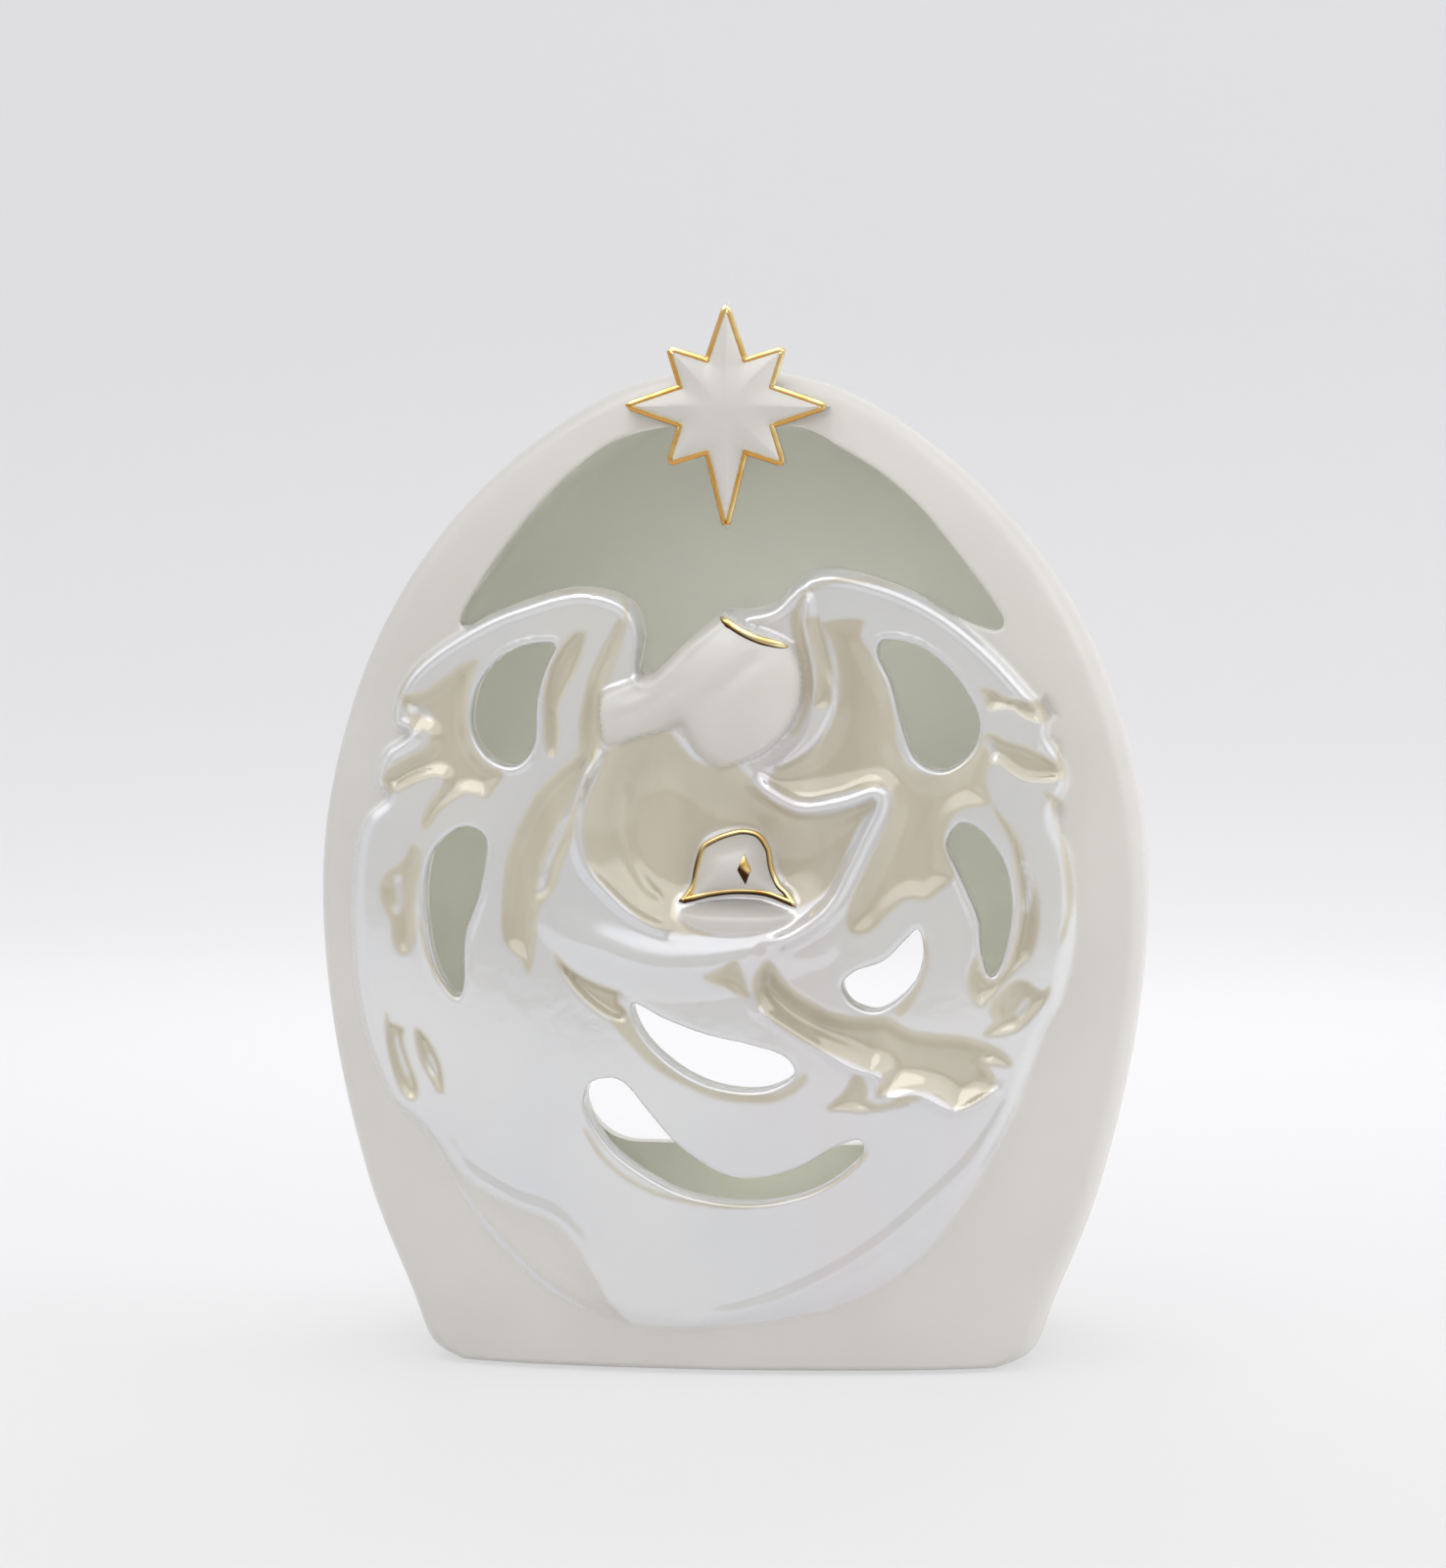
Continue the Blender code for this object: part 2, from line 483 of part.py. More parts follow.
def folds(spots):
    """Height of the ridges and grooves, as the glaze leaves them: the average over a small disc."""
    turns = np.linspace(0, 2 * math.pi, 6, endpoint=False)
    ring = GLAZE_SPREAD * np.column_stack([np.cos(turns), np.sin(turns)])
    lift = np.zeros(len(spots))
    for points, foot, height in STROKES:
        run = rounded(points, False)
        close = near(spots, run, foot * ACROSS + GLAZE_SPREAD)
        for offset in (np.zeros(2), *ring):
            gap = distance(spots[close] + offset, run, False)
            lift[close] += height * ACROSS / (1 + len(ring)) * hump(gap / (foot * ACROSS))
    return lift


def relief(spots):
    """How far the carving stands out from the plain front."""
    lift = head_bump(spots) - bowl_dip(spots) + folds(spots)
    angel = depth_inside(spots, rounded(ANGEL, True))
    share = ease(spots[:, 1] / (HEM_TOP * UP))
    rise = HEM_RISE + (WING_RISE - HEM_RISE) * share
    edge = HEM_EDGE_ROUND + (WING_EDGE_ROUND - HEM_EDGE_ROUND) * share
    lift += rise * ACROSS * shoulder(angel / (edge * ACROSS))
    for outline, rise, edge in AREAS:
        lift += rise * ACROSS * ease(depth_near(spots, rounded(outline, True), edge) / (edge * ACROSS))
    high = ease((spots[:, 1] - RIM_FROM) / (RIM_TO - RIM_FROM))
    lift += RIM_HEIGHT * high * hump((angel - RIM_HALF) / RIM_HALF)
    for hole in WING_HOLES:
        gap = distance(spots, rounded(hole, True), True)
        lift += LIP_HEIGHT * hump((gap - LIP_HALF) / LIP_HALF)
    return RELIEF * lift * ease(depth_inside(spots, FINE_SHELL) / (FRONT_ROUND + 2))


def plain_front(spots):
    gap = np.clip(depth_inside(spots, CROWN_SHELL), 0, None)
    return EDGE_Y - CROWN * (1 - np.exp(-gap / CROWN_SPREAD))


def outer_front(spots):
    return plain_front(spots) - relief(spots)


def inner_front(spots):
    return plain_front(spots) + WALL + RELIEF * (bowl_dip(spots) - HEAD_HOLLOW * head_bump(spots))


def outer_back(spots):
    gap = np.clip(depth_inside(spots, FINE_SHELL) - BACK_ROUND, 0, None)
    return DEPTH / 2 + BACK_SWELL * (1 - np.exp(-gap / CROWN_SPREAD))


def inner_back(spots):
    return outer_back(spots) - WALL


def scattered(region, holes, step):
    """Points on a staggered grid inside the region, clear of its edge and of the holes."""
    low = region.min(axis=0)
    high = region.max(axis=0)
    rows = np.arange(low[1], high[1], step * 0.866)
    spots = []
    for i, z in enumerate(rows):
        xs = np.arange(low[0] + (i % 2) * step / 2, high[0], step)
        spots.append(np.column_stack([xs, np.full(len(xs), z)]))
    spots = np.vstack(spots)
    keep = depth_inside(spots, region) > step * 0.55
    for hole in holes:
        keep &= depth_inside(spots, hole) < -min(step, EDGE_STEP) * 0.55
    return spots[keep]


def filled(region, holes, spots):
    """Points, and the three corners of each triangle, between a closed region and the holes in it."""
    loops = [region, *holes]
    points = np.vstack([*loops, spots])
    edges = []
    first = 0
    for loop in loops:
        edges += [(first + i, first + (i + 1) % len(loop)) for i in range(len(loop))]
        first += len(loop)
    made = delaunay_2d_cdt([Vector(point) for point in points.tolist()], edges, [], 0, 1e-6)
    source = [origin[0] for origin in made[3]]
    corners = np.array([[source[v] for v in face] for face in made[2]])
    middle = points[corners].mean(axis=1)
    keep = inside(middle, region)
    for hole in holes:
        keep &= ~inside(middle, hole)
    return points, corners[keep]


class Skin:
    """Points and faces of the shell as it is put together."""

    def __init__(self):
        self.points = []
        self.faces = []

    def place(self, spots, ys):
        first = len(self.points)
        self.points += [(x, y, z) for (x, z), y in zip(spots, np.broadcast_to(ys, len(spots)))]
        return list(range(first, first + len(spots)))

    def sheet(self, region, holes, spots, surface):
        """A filled sheet, returning the point numbers of its edge and of each hole."""
        spots, corners = filled(region, holes, spots)
        numbers = self.place(spots, surface(spots))
        self.faces += [[numbers[v] for v in face] for face in corners]
        rings = []
        first = 0
        for loop in [region, *holes]:
            rings.append(numbers[first:first + len(loop)])
            first += len(loop)
        return rings

    def bridge(self, ring, other):
        count = len(ring)
        for i in range(count):
            j = (i + 1) % count
            self.faces.append([ring[i], ring[j], other[j]])
            self.faces.append([ring[i], other[j], other[i]])

    def chain(self, first, rings, last):
        """Bridges from one edge to the other through rings of (outline, y)."""
        edge = first
        for spots, ys in rings:
            ring = self.place(spots, ys)
            self.bridge(edge, ring)
            edge = ring
        self.bridge(edge, last)


def outer_rings():
    rings = []
    start = plain_front(inset(FRONT_ROUND))
    slope = CROWN / CROWN_SPREAD * math.exp(-FRONT_ROUND / CROWN_SPREAD)
    first = math.atan(slope * FRONT_ROUND / FRONT_RUN)
    for share in (1 / 3, 2 / 3, 1):
        angle = first + (math.pi / 2 - first) * share
        across = (1 - math.sin(angle)) / (1 - math.sin(first))
        rings.append((inset(FRONT_ROUND * across), start + FRONT_RUN * (math.cos(first) - math.cos(angle))))
    rings.append((belly(), 0.0))
    for turn in (0, 30, 60):
        angle = math.radians(turn)
        edge = inset(BACK_ROUND * (1 - math.cos(angle)))
        rings.append((edge, DEPTH / 2 - BACK_RUN * (1 - math.sin(angle))))
    return rings


def hollow(amount):
    """The inside outline, with the floor at its own height."""
    loop = inset(amount)
    loop[:, 1] = np.maximum(loop[:, 1], FLOOR)
    return loop


def inner_rings():
    front = inner_front(hollow(WALL + LINING_ROUND))
    rings = [(hollow(WALL + LINING_ROUND * 0.3), front + LINING_ROUND * 0.7)]
    rings.append((hollow(WALL), front + LINING_ROUND * 2))
    rings.append((hollow(WALL), DEPTH / 2 - BACK_RUN))
    rings.append((hollow(WALL + BACK_ROUND * 0.3), DEPTH / 2 - WALL - BACK_RUN * 0.3))
    return rings


def back_opening():
    half = OPENING_WIDTH / 2
    tall = OPENING_TOP - OPENING_SPRING
    arch = [(half * math.cos(a), OPENING_SPRING + tall * math.sin(a)) for a in np.linspace(0, math.pi, 33)]
    corner = half * OPENING_CORNER
    low = [(-half, SILL + corner), (-half + corner * 0.3, SILL + corner * 0.3), (-half + corner, SILL)]
    low += [(-x, z) for x, z in low[::-1]]
    loop = even(np.array(arch + low), OPENING_STEP, True)
    return (loop - (0, FLOOR)) / (1 - TAPER) + (0, FLOOR)


def narrowed(points):
    """The shell's points drawn in towards the back, above the floor."""
    x, y, z = np.array(points).T
    share = 1 - TAPER * np.clip(y / DEPTH + 0.5, 0, 1)
    return np.column_stack([x * share, y, np.minimum(z, FLOOR) + np.maximum(z - FLOOR, 0) * share])


def shell():
    skin = Skin()
    holes = [even(rounded(hole, True), EDGE_STEP, True) for hole in FRONT_HOLES]
    opening = [back_opening()]
    edge = inset(FRONT_ROUND)
    front = skin.sheet(edge, holes, scattered(edge, holes, FINE_STEP), outer_front)
    fine = len(skin.faces)
    carved = range(max(map(max, front)) + 1, len(skin.points))
    edge = hollow(WALL + LINING_ROUND)
    lining = skin.sheet(edge, holes, scattered(edge, holes, PLAIN_STEP), inner_front)
    edge = inset(BACK_ROUND)
    back = skin.sheet(edge, opening, scattered(edge, opening, BACK_STEP), outer_back)
    edge = hollow(WALL + BACK_ROUND)
    back_lining = skin.sheet(edge, opening, scattered(edge, opening, BACK_STEP), inner_back)
    for ring, other in zip(front[1:], lining[1:]):
        skin.bridge(ring, other)
    skin.bridge(back[1], back_lining[1])
    skin.chain(front[0], outer_rings(), back[0])
    skin.chain(lining[0], inner_rings(), back_lining[0])
    made = made_object("holder", narrowed(skin.points), skin.faces)
    made.vertex_groups.new(name="carved").add(list(carved), 1, "REPLACE")
    merge = made.modifiers.new("merged_facets", "DECIMATE")
    merge.ratio = 1 - max(fine - FRONT_TRIANGLES, 0) / len(skin.faces)
    merge.vertex_group = "carved"
    return made


def made_object(name, points, faces):
    mesh = bpy.data.meshes.new(name)
    mesh.from_pydata([Vector(point) * MM for point in points], [], faces)
    work = bmesh.new()
    work.from_mesh(mesh)
    bmesh.ops.recalc_face_normals(work, faces=work.faces)
    work.to_mesh(mesh)
    work.free()
    obj = bpy.data.objects.new(name, mesh)
    bpy.context.collection.objects.link(obj)
    return obj


def star():
    """Eight soft arms, each with a ridge from the middle to its tip."""
    middle = np.array([0.0, HEIGHT - STAR_BELOW_TOP])
    arms = [STAR_ARM, STAR_SIDE_ARM] * 4
    arms[4] = STAR_DROP
    rim = []
    for i, arm in enumerate(arms):
        for reach, turn in ((arm, 45 * i), (STAR_VALLEY, 45 * i + 22.5)):
            angle = math.radians(turn)
            rim.append((reach * math.sin(angle), middle[1] + reach * math.cos(angle)))
    back_y = plain_front(middle[None])[0] + STAR_SUNK
    front_y = back_y - STAR_SUNK - STAR_THICK
    count = len(rim)
    points = [(x, back_y, z) for x, z in rim] + [(x, front_y, z) for x, z in rim]
    for share, rise in ((0.62, 0.72), (0.3, 0.95)):
        for i, spot in enumerate(rim):
            x, z = middle + (np.array(spot) - middle) * share
            points.append((x, front_y - STAR_RISE * rise * (1 if i % 2 == 0 else 0.72), z))
    points += [(middle[0], back_y, middle[1]), (middle[0], front_y - STAR_RISE, middle[1])]
    faces = []
    for i in range(count):
        j = (i + 1) % count
        for low in range(0, 3 * count, count):
            faces += [[low + i, low + j, low + count + j], [low + i, low + count + j, low + count + i]]
        faces += [[i, j, 4 * count], [3 * count + i, 3 * count + j, 4 * count + 1]]
    return made_object("star", points, faces)


def porcelain():
    made = bpy.data.materials.new("porcelain")
    made.use_nodes = True
    shader = made.node_tree.nodes["Principled BSDF"]
    shader.inputs["Base Color"].default_value = (0.78, 0.77, 0.74, 1)
    shader.inputs["Roughness"].default_value = 0.25
    shader.inputs["Metallic"].default_value = 0
    made.diffuse_color = (0.78, 0.77, 0.74, 1)
    return made


for leftover in list(bpy.data.objects):
    bpy.data.objects.remove(leftover)

holder = shell()
ornament = star()
ornament.hide_render = True
ornament.display_type = "WIRE"
fuse = holder.modifiers.new("star", "BOOLEAN")
fuse.operation = "UNION"
fuse.solver = "EXACT"
fuse.object = ornament
holder.data.materials.append(porcelain())
holder.data.shade_smooth()
holder.data.set_sharp_from_angle(angle=math.radians(40))
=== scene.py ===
"""Looks of the angel candle holder: the pierced, carved shell in fine detail, the star, the gold lines,
glazes, floor, light and camera. The front looks along -Y. Shapes are written in millimetres."""

import math

import bmesh
import bpy
import numpy as np
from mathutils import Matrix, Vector
from mathutils.geometry import delaunay_2d_cdt


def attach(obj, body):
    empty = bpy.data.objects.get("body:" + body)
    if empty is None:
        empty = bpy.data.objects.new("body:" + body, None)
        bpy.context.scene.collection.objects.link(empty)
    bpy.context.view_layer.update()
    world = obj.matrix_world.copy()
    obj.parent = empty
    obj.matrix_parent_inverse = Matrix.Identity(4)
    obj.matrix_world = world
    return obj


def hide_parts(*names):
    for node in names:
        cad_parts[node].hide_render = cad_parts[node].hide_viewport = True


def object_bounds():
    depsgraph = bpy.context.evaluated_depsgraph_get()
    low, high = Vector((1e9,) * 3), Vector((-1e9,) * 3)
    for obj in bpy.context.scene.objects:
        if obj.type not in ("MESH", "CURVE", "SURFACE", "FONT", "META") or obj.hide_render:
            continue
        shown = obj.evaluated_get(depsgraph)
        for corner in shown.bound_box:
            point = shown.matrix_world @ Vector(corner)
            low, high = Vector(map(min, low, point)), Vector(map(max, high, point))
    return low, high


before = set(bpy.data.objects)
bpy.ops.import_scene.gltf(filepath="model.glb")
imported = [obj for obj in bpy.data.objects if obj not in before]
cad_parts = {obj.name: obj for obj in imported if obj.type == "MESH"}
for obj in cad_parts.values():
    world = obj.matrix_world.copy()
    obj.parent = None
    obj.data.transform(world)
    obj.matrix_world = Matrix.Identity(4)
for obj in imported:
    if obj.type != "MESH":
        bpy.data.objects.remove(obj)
cad_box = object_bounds()

MM = 0.001

# Sizes of the shell, as in the solid
HEIGHT = 162.0
DEPTH = 66.0
WALL = 4.0
FLOOR = 5.0
CROWN = 9.0
CROWN_SPREAD = 16.0
CROWN_BELOW = 60.0
TAPER = 0.04
FRONT_ROUND = 3.0
FRONT_RUN = 8.0
BACK_ROUND = 8.0
BACK_RUN = 14.0
BACK_SWELL = 2.0
BACK_SPREAD = 16.0
BELLY = 0.6
BASE_SHARE = 0.4
LINING_ROUND = 1.2
OPENING_WIDTH = 62.0
SILL = 27.0
OPENING_TOP = 88.0
OPENING_SPRING = 55.0
OPENING_CORNER = 0.3
STAR_ARM = 16.4
STAR_DROP = 19.8
STAR_SIDE_ARM = 13.2
STAR_VALLEY = 8.0
STAR_BELOW_TOP = 6.9
STAR_THICK = 3.0
STAR_SUNK = 2.0
STAR_RISE = 3.4
STAR_SPREAD = 3.4
STAR_SOFT_EDGE = 0.7

# Steps of the fine mesh, the reach over which edges are evened out, and the soft lip around each pierced hole
SPAN_STEPS = 8
OUTLINE_STEP = 1.6
EDGE_STEP = 0.6
FRONT_STEP = 0.54
PLAIN_STEP = 3.0
STAR_STEP = 0.4
LINE_STEP = 0.5
EVENED_REACH = 5.2
LIP = 0.6
TINY = 0.005

# The front is drawn from a base line at -2.3
DRAWN_BASE = -2.3

# Right half of the shell's outline, from the middle of the base to the top
OUTLINE = [
    (20, -2.3), (43, -2.3), (49, 0.3), (52.6, 9), (59.6, 27), (65.1, 51), (67, 74),
    (65, 93), (58.6, 113.5), (48.3, 131), (34.2, 145.5), (17.4, 156), (0, 159.7),
]

# Openings of the front, each a closed run of points
ARCH_OPENING = [
    (-42.8, 118.2), (-41.5, 121.5), (-36.8, 128.7), (-30.5, 136.7), (-24.3, 142.8), (-17.4, 147.4),
    (-9, 149.4), (0, 149.8), (9, 149.6), (13.3, 148.8), (18.8, 145.7), (25.1, 141.7), (31.3, 136.1),
    (36.2, 130.1), (41, 123.9), (44, 119), (42.5, 117.4), (36.2, 119.7), (30, 123.4), (23.8, 125.7),
    (17.5, 127), (13, 126.2), (10, 123.7), (7.7, 121.5), (4, 120.6), (0, 120.4), (-5.5, 116),
    (-9, 112.5), (-11.6, 110.4), (-13.6, 111), (-13, 117), (-14.5, 121), (-17.4, 123), (-22, 124),
    (-26.5, 123.5), (-32, 121.8), (-37.5, 119.7), (-41.5, 117.6),
]
UPPER_LEFT = [
    (-27.2, 115), (-28.6, 111), (-30, 105.5), (-30.4, 99), (-33.5, 95.5), (-38, 97), (-40.6, 102),
    (-39.2, 109), (-34, 114),
]
UPPER_RIGHT = [
    (25.5, 116), (31, 115), (36.8, 110.2), (40.3, 104), (39.5, 98.5), (35, 95.2), (30.5, 97),
    (28.2, 102.5), (26.5, 109), (24.4, 113.6),
]
LOWER_LEFT = [
    (-42.5, 85.5), (-38.2, 83.8), (-39.2, 75.5), (-41.7, 68), (-42, 60.4), (-43.4, 58.4), (-46.8, 63.5),
    (-48.3, 73), (-47.2, 81),
]
LOWER_RIGHT = [
    (37.8, 87), (41.5, 85.2), (44.8, 80), (45.8, 73), (44.5, 65.5), (42.5, 62.4), (41, 66),
    (40.3, 72), (37.5, 78.5), (35.4, 83.6),
]
SLEEVE_SLOT = [
    (-14.5, 57.8), (-9.5, 55.4), (-3, 53), (4.3, 51.3), (9.8, 49.5), (11.2, 46.5), (6.5, 44),
    (0, 44.2), (-5.7, 46.3), (-10.7, 50), (-13.8, 54),
]
CRESCENT = [
    (-19.5, 45.6), (-16, 45), (-11.7, 40), (-7, 34.8), (0, 30.5), (6, 30), (12, 31.7), (18.6, 35.4),
    (22, 36), (21.5, 32.8), (15, 28), (6, 25.7), (-3, 26.2), (-10, 28.6), (-17.7, 33.8), (-22, 40.2),
    (-22, 43.8),
]
TEARDROP = [
    (31, 70), (31.8, 66), (30, 61), (25, 57), (20.5, 58), (18.9, 61), (21, 63.3), (25.5, 65), (29, 68.4),
]
WING_HOLES = [UPPER_LEFT, UPPER_RIGHT, LOWER_LEFT, LOWER_RIGHT]
FRONT_HOLES = [ARCH_OPENING, *WING_HOLES, SLEEVE_SLOT, CRESCENT, TEARDROP]

# Relief. The angel's outline runs down the left wing, along the hem and up the right wing to the head
ANGEL = [
    (-13.2, 111), *ARCH_OPENING[30:37],
    (-44.5, 115.8), (-49.5, 112), (-52.5, 108.3), (-54, 104), (-53.5, 101),
    (-51.5, 100.2), (-55, 98), (-56.7, 94.5), (-56.7, 91.5), (-54.8, 90.2), (-58.2, 87), (-60, 82.5),
    (-60.8, 75), (-60.8, 67), (-60.2, 59), (-58.6, 51), (-56.4, 45), (-54, 40.5), (-51, 38.2),
    (-48.6, 35.8), (-45.4, 31), (-40.8, 22.8), (-34.9, 16), (-28.3, 10.4), (-20.4, 7), (-12.5, 5.4),
    (-3, 5.4), (9.6, 6.8), (22.3, 10.6), (31.8, 17.4), (39.2, 27), (43.6, 34.8), (46.6, 41),
    (48.2, 45.2), (50.5, 52), (53.5, 58), (55.5, 66), (55.8, 74), (55, 82), (52.6, 88), (54.6, 92.8),
    (53.9, 97), (51.6, 100.8), (51.4, 104.2), (47.6, 109), (42.5, 114.5), (36.3, 119.7),
    *ARCH_OPENING[18:29],
]
BOWL = [
    (-18, 97.3), (-21, 91.7), (-22.4, 84.5), (-21.2, 79), (-16.9, 74), (-11.7, 70.8), (-6.2, 69.5),
    (4.9, 69.2), (12, 71.6), (17.5, 76.6), (19.4, 83.8), (21, 88.6), (12.8, 88), (8, 90.7),
    (4.1, 94.6), (0.2, 95.3), (-6.2, 99.9), (-12.5, 99.5),
]
BELL = [
    (-7.4, 73.5), (-2.5, 74.5), (1.9, 75), (6.6, 74.7), (11.7, 73.2), (10.6, 75.7), (9, 77.1),
    (7.9, 79.6), (7.4, 82.6), (5.7, 85.1), (3.3, 85.8), (1.1, 85.5), (-1.7, 84.5), (-4, 82.9),
    (-5.1, 79.6), (-5.7, 76.6),
]
BELL_MOUTH = [(-7, 72.8), (2, 74.2), (11.2, 72.4), (9, 70.2), (2, 69), (-4.6, 69.9)]
HEAD_BAND = [
    (12.8, 124.7), (12, 118.4), (13.4, 109), (12.6, 102.6), (9.6, 98.6), (6.2, 95.6), (9.6, 95.2),
    (14.4, 98.2), (17.5, 102.7), (18.3, 107.5), (16.9, 112.5), (15.4, 118.5), (14.6, 123),
]
LEFT_DISH = [
    (-52.3, 106.4), (-48.5, 107.4), (-44.9, 109.7), (-42.2, 111.8), (-39.5, 112.3), (-40.1, 110.1),
    (-41.1, 106.3), (-41.1, 101.9), (-40, 98.4), (-37.8, 95.9), (-35.2, 94.4), (-36.5, 92.2),
    (-38.2, 90.2), (-40, 90.8), (-41.7, 90.8), (-44.9, 88.8), (-46.6, 86.6), (-47.7, 85.1),
    (-48.8, 85.6), (-48.3, 88.1), (-46.9, 90.4), (-45.3, 92.6), (-46.3, 93.5), (-49.6, 92.5),
    (-53.9, 90.5), (-55.3, 92.3), (-54.8, 94.3), (-52, 96.3), (-48.5, 98.2), (-47.4, 99.8),
    (-48.5, 100.8), (-50.4, 101), (-51.5, 103.9),
]
SLIVER = [
    (-25.9, 115.1), (-23.9, 117.1), (-22, 117.1), (-22, 115.8), (-22.6, 113.3), (-23.9, 110.1),
    (-25.4, 107.2), (-26.4, 104.7), (-26.2, 101.1), (-26.5, 98), (-27.6, 96.8), (-28.6, 98.3),
    (-28.9, 102.6), (-28.8, 107.3), (-28, 111), (-27, 113.2),
]
LONG_STRIP = [
    (-18.5, 116.2), (-16.6, 119.4), (-16.1, 117.8), (-17.2, 113.9), (-19.1, 108.6), (-19, 104.4),
    (-19.4, 99.6), (-21, 94.8), (-23.2, 88.5), (-24.2, 83.7), (-25.8, 79.7), (-27, 75.8),
    (-29.5, 72.6), (-30, 67.8), (-30.5, 64.2), (-31.3, 62.2), (-32.7, 64.6), (-35.1, 66.9),
    (-35.7, 70.1), (-35.5, 75.6), (-34.8, 81.1), (-33, 85.9), (-29.9, 91.5), (-26.4, 95.2),
    (-23.5, 97.9), (-23.2, 102.7), (-22, 108.2), (-20.4, 112.7),
]
LEFT_SCOOP = [
    (-50.2, 83), (-48.7, 81.5), (-48.8, 78.5), (-49.6, 75.3), (-49.8, 72.1), (-49.6, 68.2),
    (-50.7, 65.3), (-52.4, 65), (-53.6, 66.9), (-54, 70), (-55.5, 73.1), (-55.8, 76), (-54.7, 78.2),
    (-52, 80.2),
]
LEAF = [
    (-55, 55.6), (-53.9, 53.9), (-51.7, 53), (-51.8, 50.8), (-50.7, 47.3), (-49.4, 43.6),
    (-49.9, 41.5), (-51.5, 41.5), (-53.1, 43.8), (-54.2, 47.3), (-55, 51.5),
]
SMALL_LEAF = [
    (-50.2, 52.9), (-48.5, 52.4), (-46.8, 49.9), (-45.5, 46.8), (-45.2, 43.3), (-46.1, 42.7),
    (-47.6, 44.9), (-49.3, 48.1),
]
ARM_FOLD = [
    (-27.3, 66.1), (-24.8, 63.6), (-21.3, 61.5), (-17.2, 60), (-16.1, 59.7), (-16.6, 58.1),
    (-15.3, 56.6), (-15.6, 54.7), (-18.8, 55.5), (-22.3, 58), (-25.1, 61.1), (-26.7, 63.6),
]
SLEEVE_START = [
    (-3.3, 62.2), (-0.6, 63.7), (2.1, 65.3), (3, 63.7), (3.8, 61.4), (4.3, 58.9), (2.5, 59.5),
    (0.2, 60.5),
]
SLEEVE = [
    (5.7, 63.8), (7, 65.1), (8.1, 64.6), (9.6, 62.3), (12, 60), (15.2, 58.1), (17.5, 56.9),
    (22.3, 56.2), (26.2, 56.3), (28.6, 54.8), (31.8, 53.7), (37.3, 53.2), (41.2, 52.3),
    (44.4, 50.8), (46, 48.8), (45.2, 48), (42.5, 48.2), (43.4, 46.1), (42.5, 44), (39.7, 41.9),
    (36.8, 41.5), (34.1, 43.3), (31, 44.2), (27.8, 44.2), (24.6, 43.1), (24.3, 44.4), (25.4, 46),
    (24.6, 47.3), (23.1, 47.5), (19.1, 49.4), (12.8, 52.1), (8.1, 55.1), (5.2, 58.6), (4.6, 61.4),
]
POCKET = [
    (16.4, 41.4), (19.1, 44), (20.7, 46.7), (22.3, 46.3), (23.1, 44.7), (23.1, 42.8), (25.4, 42.2),
    (28.6, 43.5), (31.8, 43.3), (29.4, 42.1), (26.2, 41.3), (22.3, 40.7), (19.1, 41),
]
RIGHT_HOLLOW = [
    (15.6, 118.5), (19.1, 119.3), (22.3, 119.1), (21.8, 116.7), (23.5, 113.6), (25.9, 108.9),
    (27.2, 103.7), (27.6, 99.4), (29.5, 96.3), (32.7, 94.8), (36.2, 95.2), (39.3, 97.5),
    (41.2, 100.4), (42.2, 97.7), (41.7, 93.7), (42.5, 90.3), (40.4, 89.6), (38.1, 89.2),
    (36.2, 87.6), (35.2, 84.9), (35.9, 81), (36.8, 78.6), (34.6, 76.2), (32.2, 74.7), (29.4, 74.8),
    (26.7, 72.9), (24.3, 70.3), (22, 69.2), (20.2, 69.6), (19.6, 72), (20.7, 75.9), (22.9, 80.4),
    (25.1, 85.2), (26.5, 89), (26.7, 91.5), (25.1, 92.8), (20.7, 92.2), (16, 91.2), (11.5, 90.9),
    (8.7, 92.1), (7.3, 94.3), (10.4, 96.6), (14.7, 99.2), (17.2, 103), (18.3, 107.8), (18, 112.5),
    (16.9, 116.1),
]
RIGHT_STRIP = [
    (42.5, 89.6), (44.7, 87.8), (46.9, 84.7), (47.9, 81.5), (49.1, 78.9), (50.1, 74.9),
    (50.1, 70.2), (49.1, 66.2), (47.6, 64.6), (45.3, 62.2), (43.1, 59.8), (41.2, 57.9),
    (39.7, 58.9), (38.7, 62.1), (39.3, 64.6), (40.3, 66.1), (41.2, 63.4), (42.5, 62.1),
    (44.4, 63.4), (46, 67.7), (46.9, 73.3), (46.4, 78.8), (45.3, 84),
]
RIGHT_PATCH = [
    (43.1, 59.3), (46, 61.9), (48.3, 61.9), (50.4, 60.4), (52, 61.1), (51.7, 59.2), (49.9, 56.8),
    (47.9, 54.7), (46, 53.5), (42.8, 53), (41.2, 53.4), (42.8, 55.5), (42.3, 57.7),
]
UPPER_SCOOP = [
    (40.6, 108.6), (42.8, 108.3), (44.4, 107.2), (47.6, 106.5), (49.4, 106.5), (50.7, 107.8),
    (52.3, 105.9), (53.2, 103.4), (50.7, 102.8), (47.6, 103.6), (45.2, 105.2), (42, 104.8),
    (41.1, 106.7),
]
MIDDLE_SCOOP = [
    (40.9, 101), (42.8, 101.3), (44.4, 100.4), (47.6, 99.4), (49.9, 98.3), (52.6, 96.8),
    (52.3, 98.7), (51, 101), (53.1, 100), (54.3, 96.3), (54.2, 94), (50.7, 93.4), (47.6, 93.8),
    (45.2, 95.1), (43.4, 96.6), (42.2, 95.9), (41.5, 97.7),
]
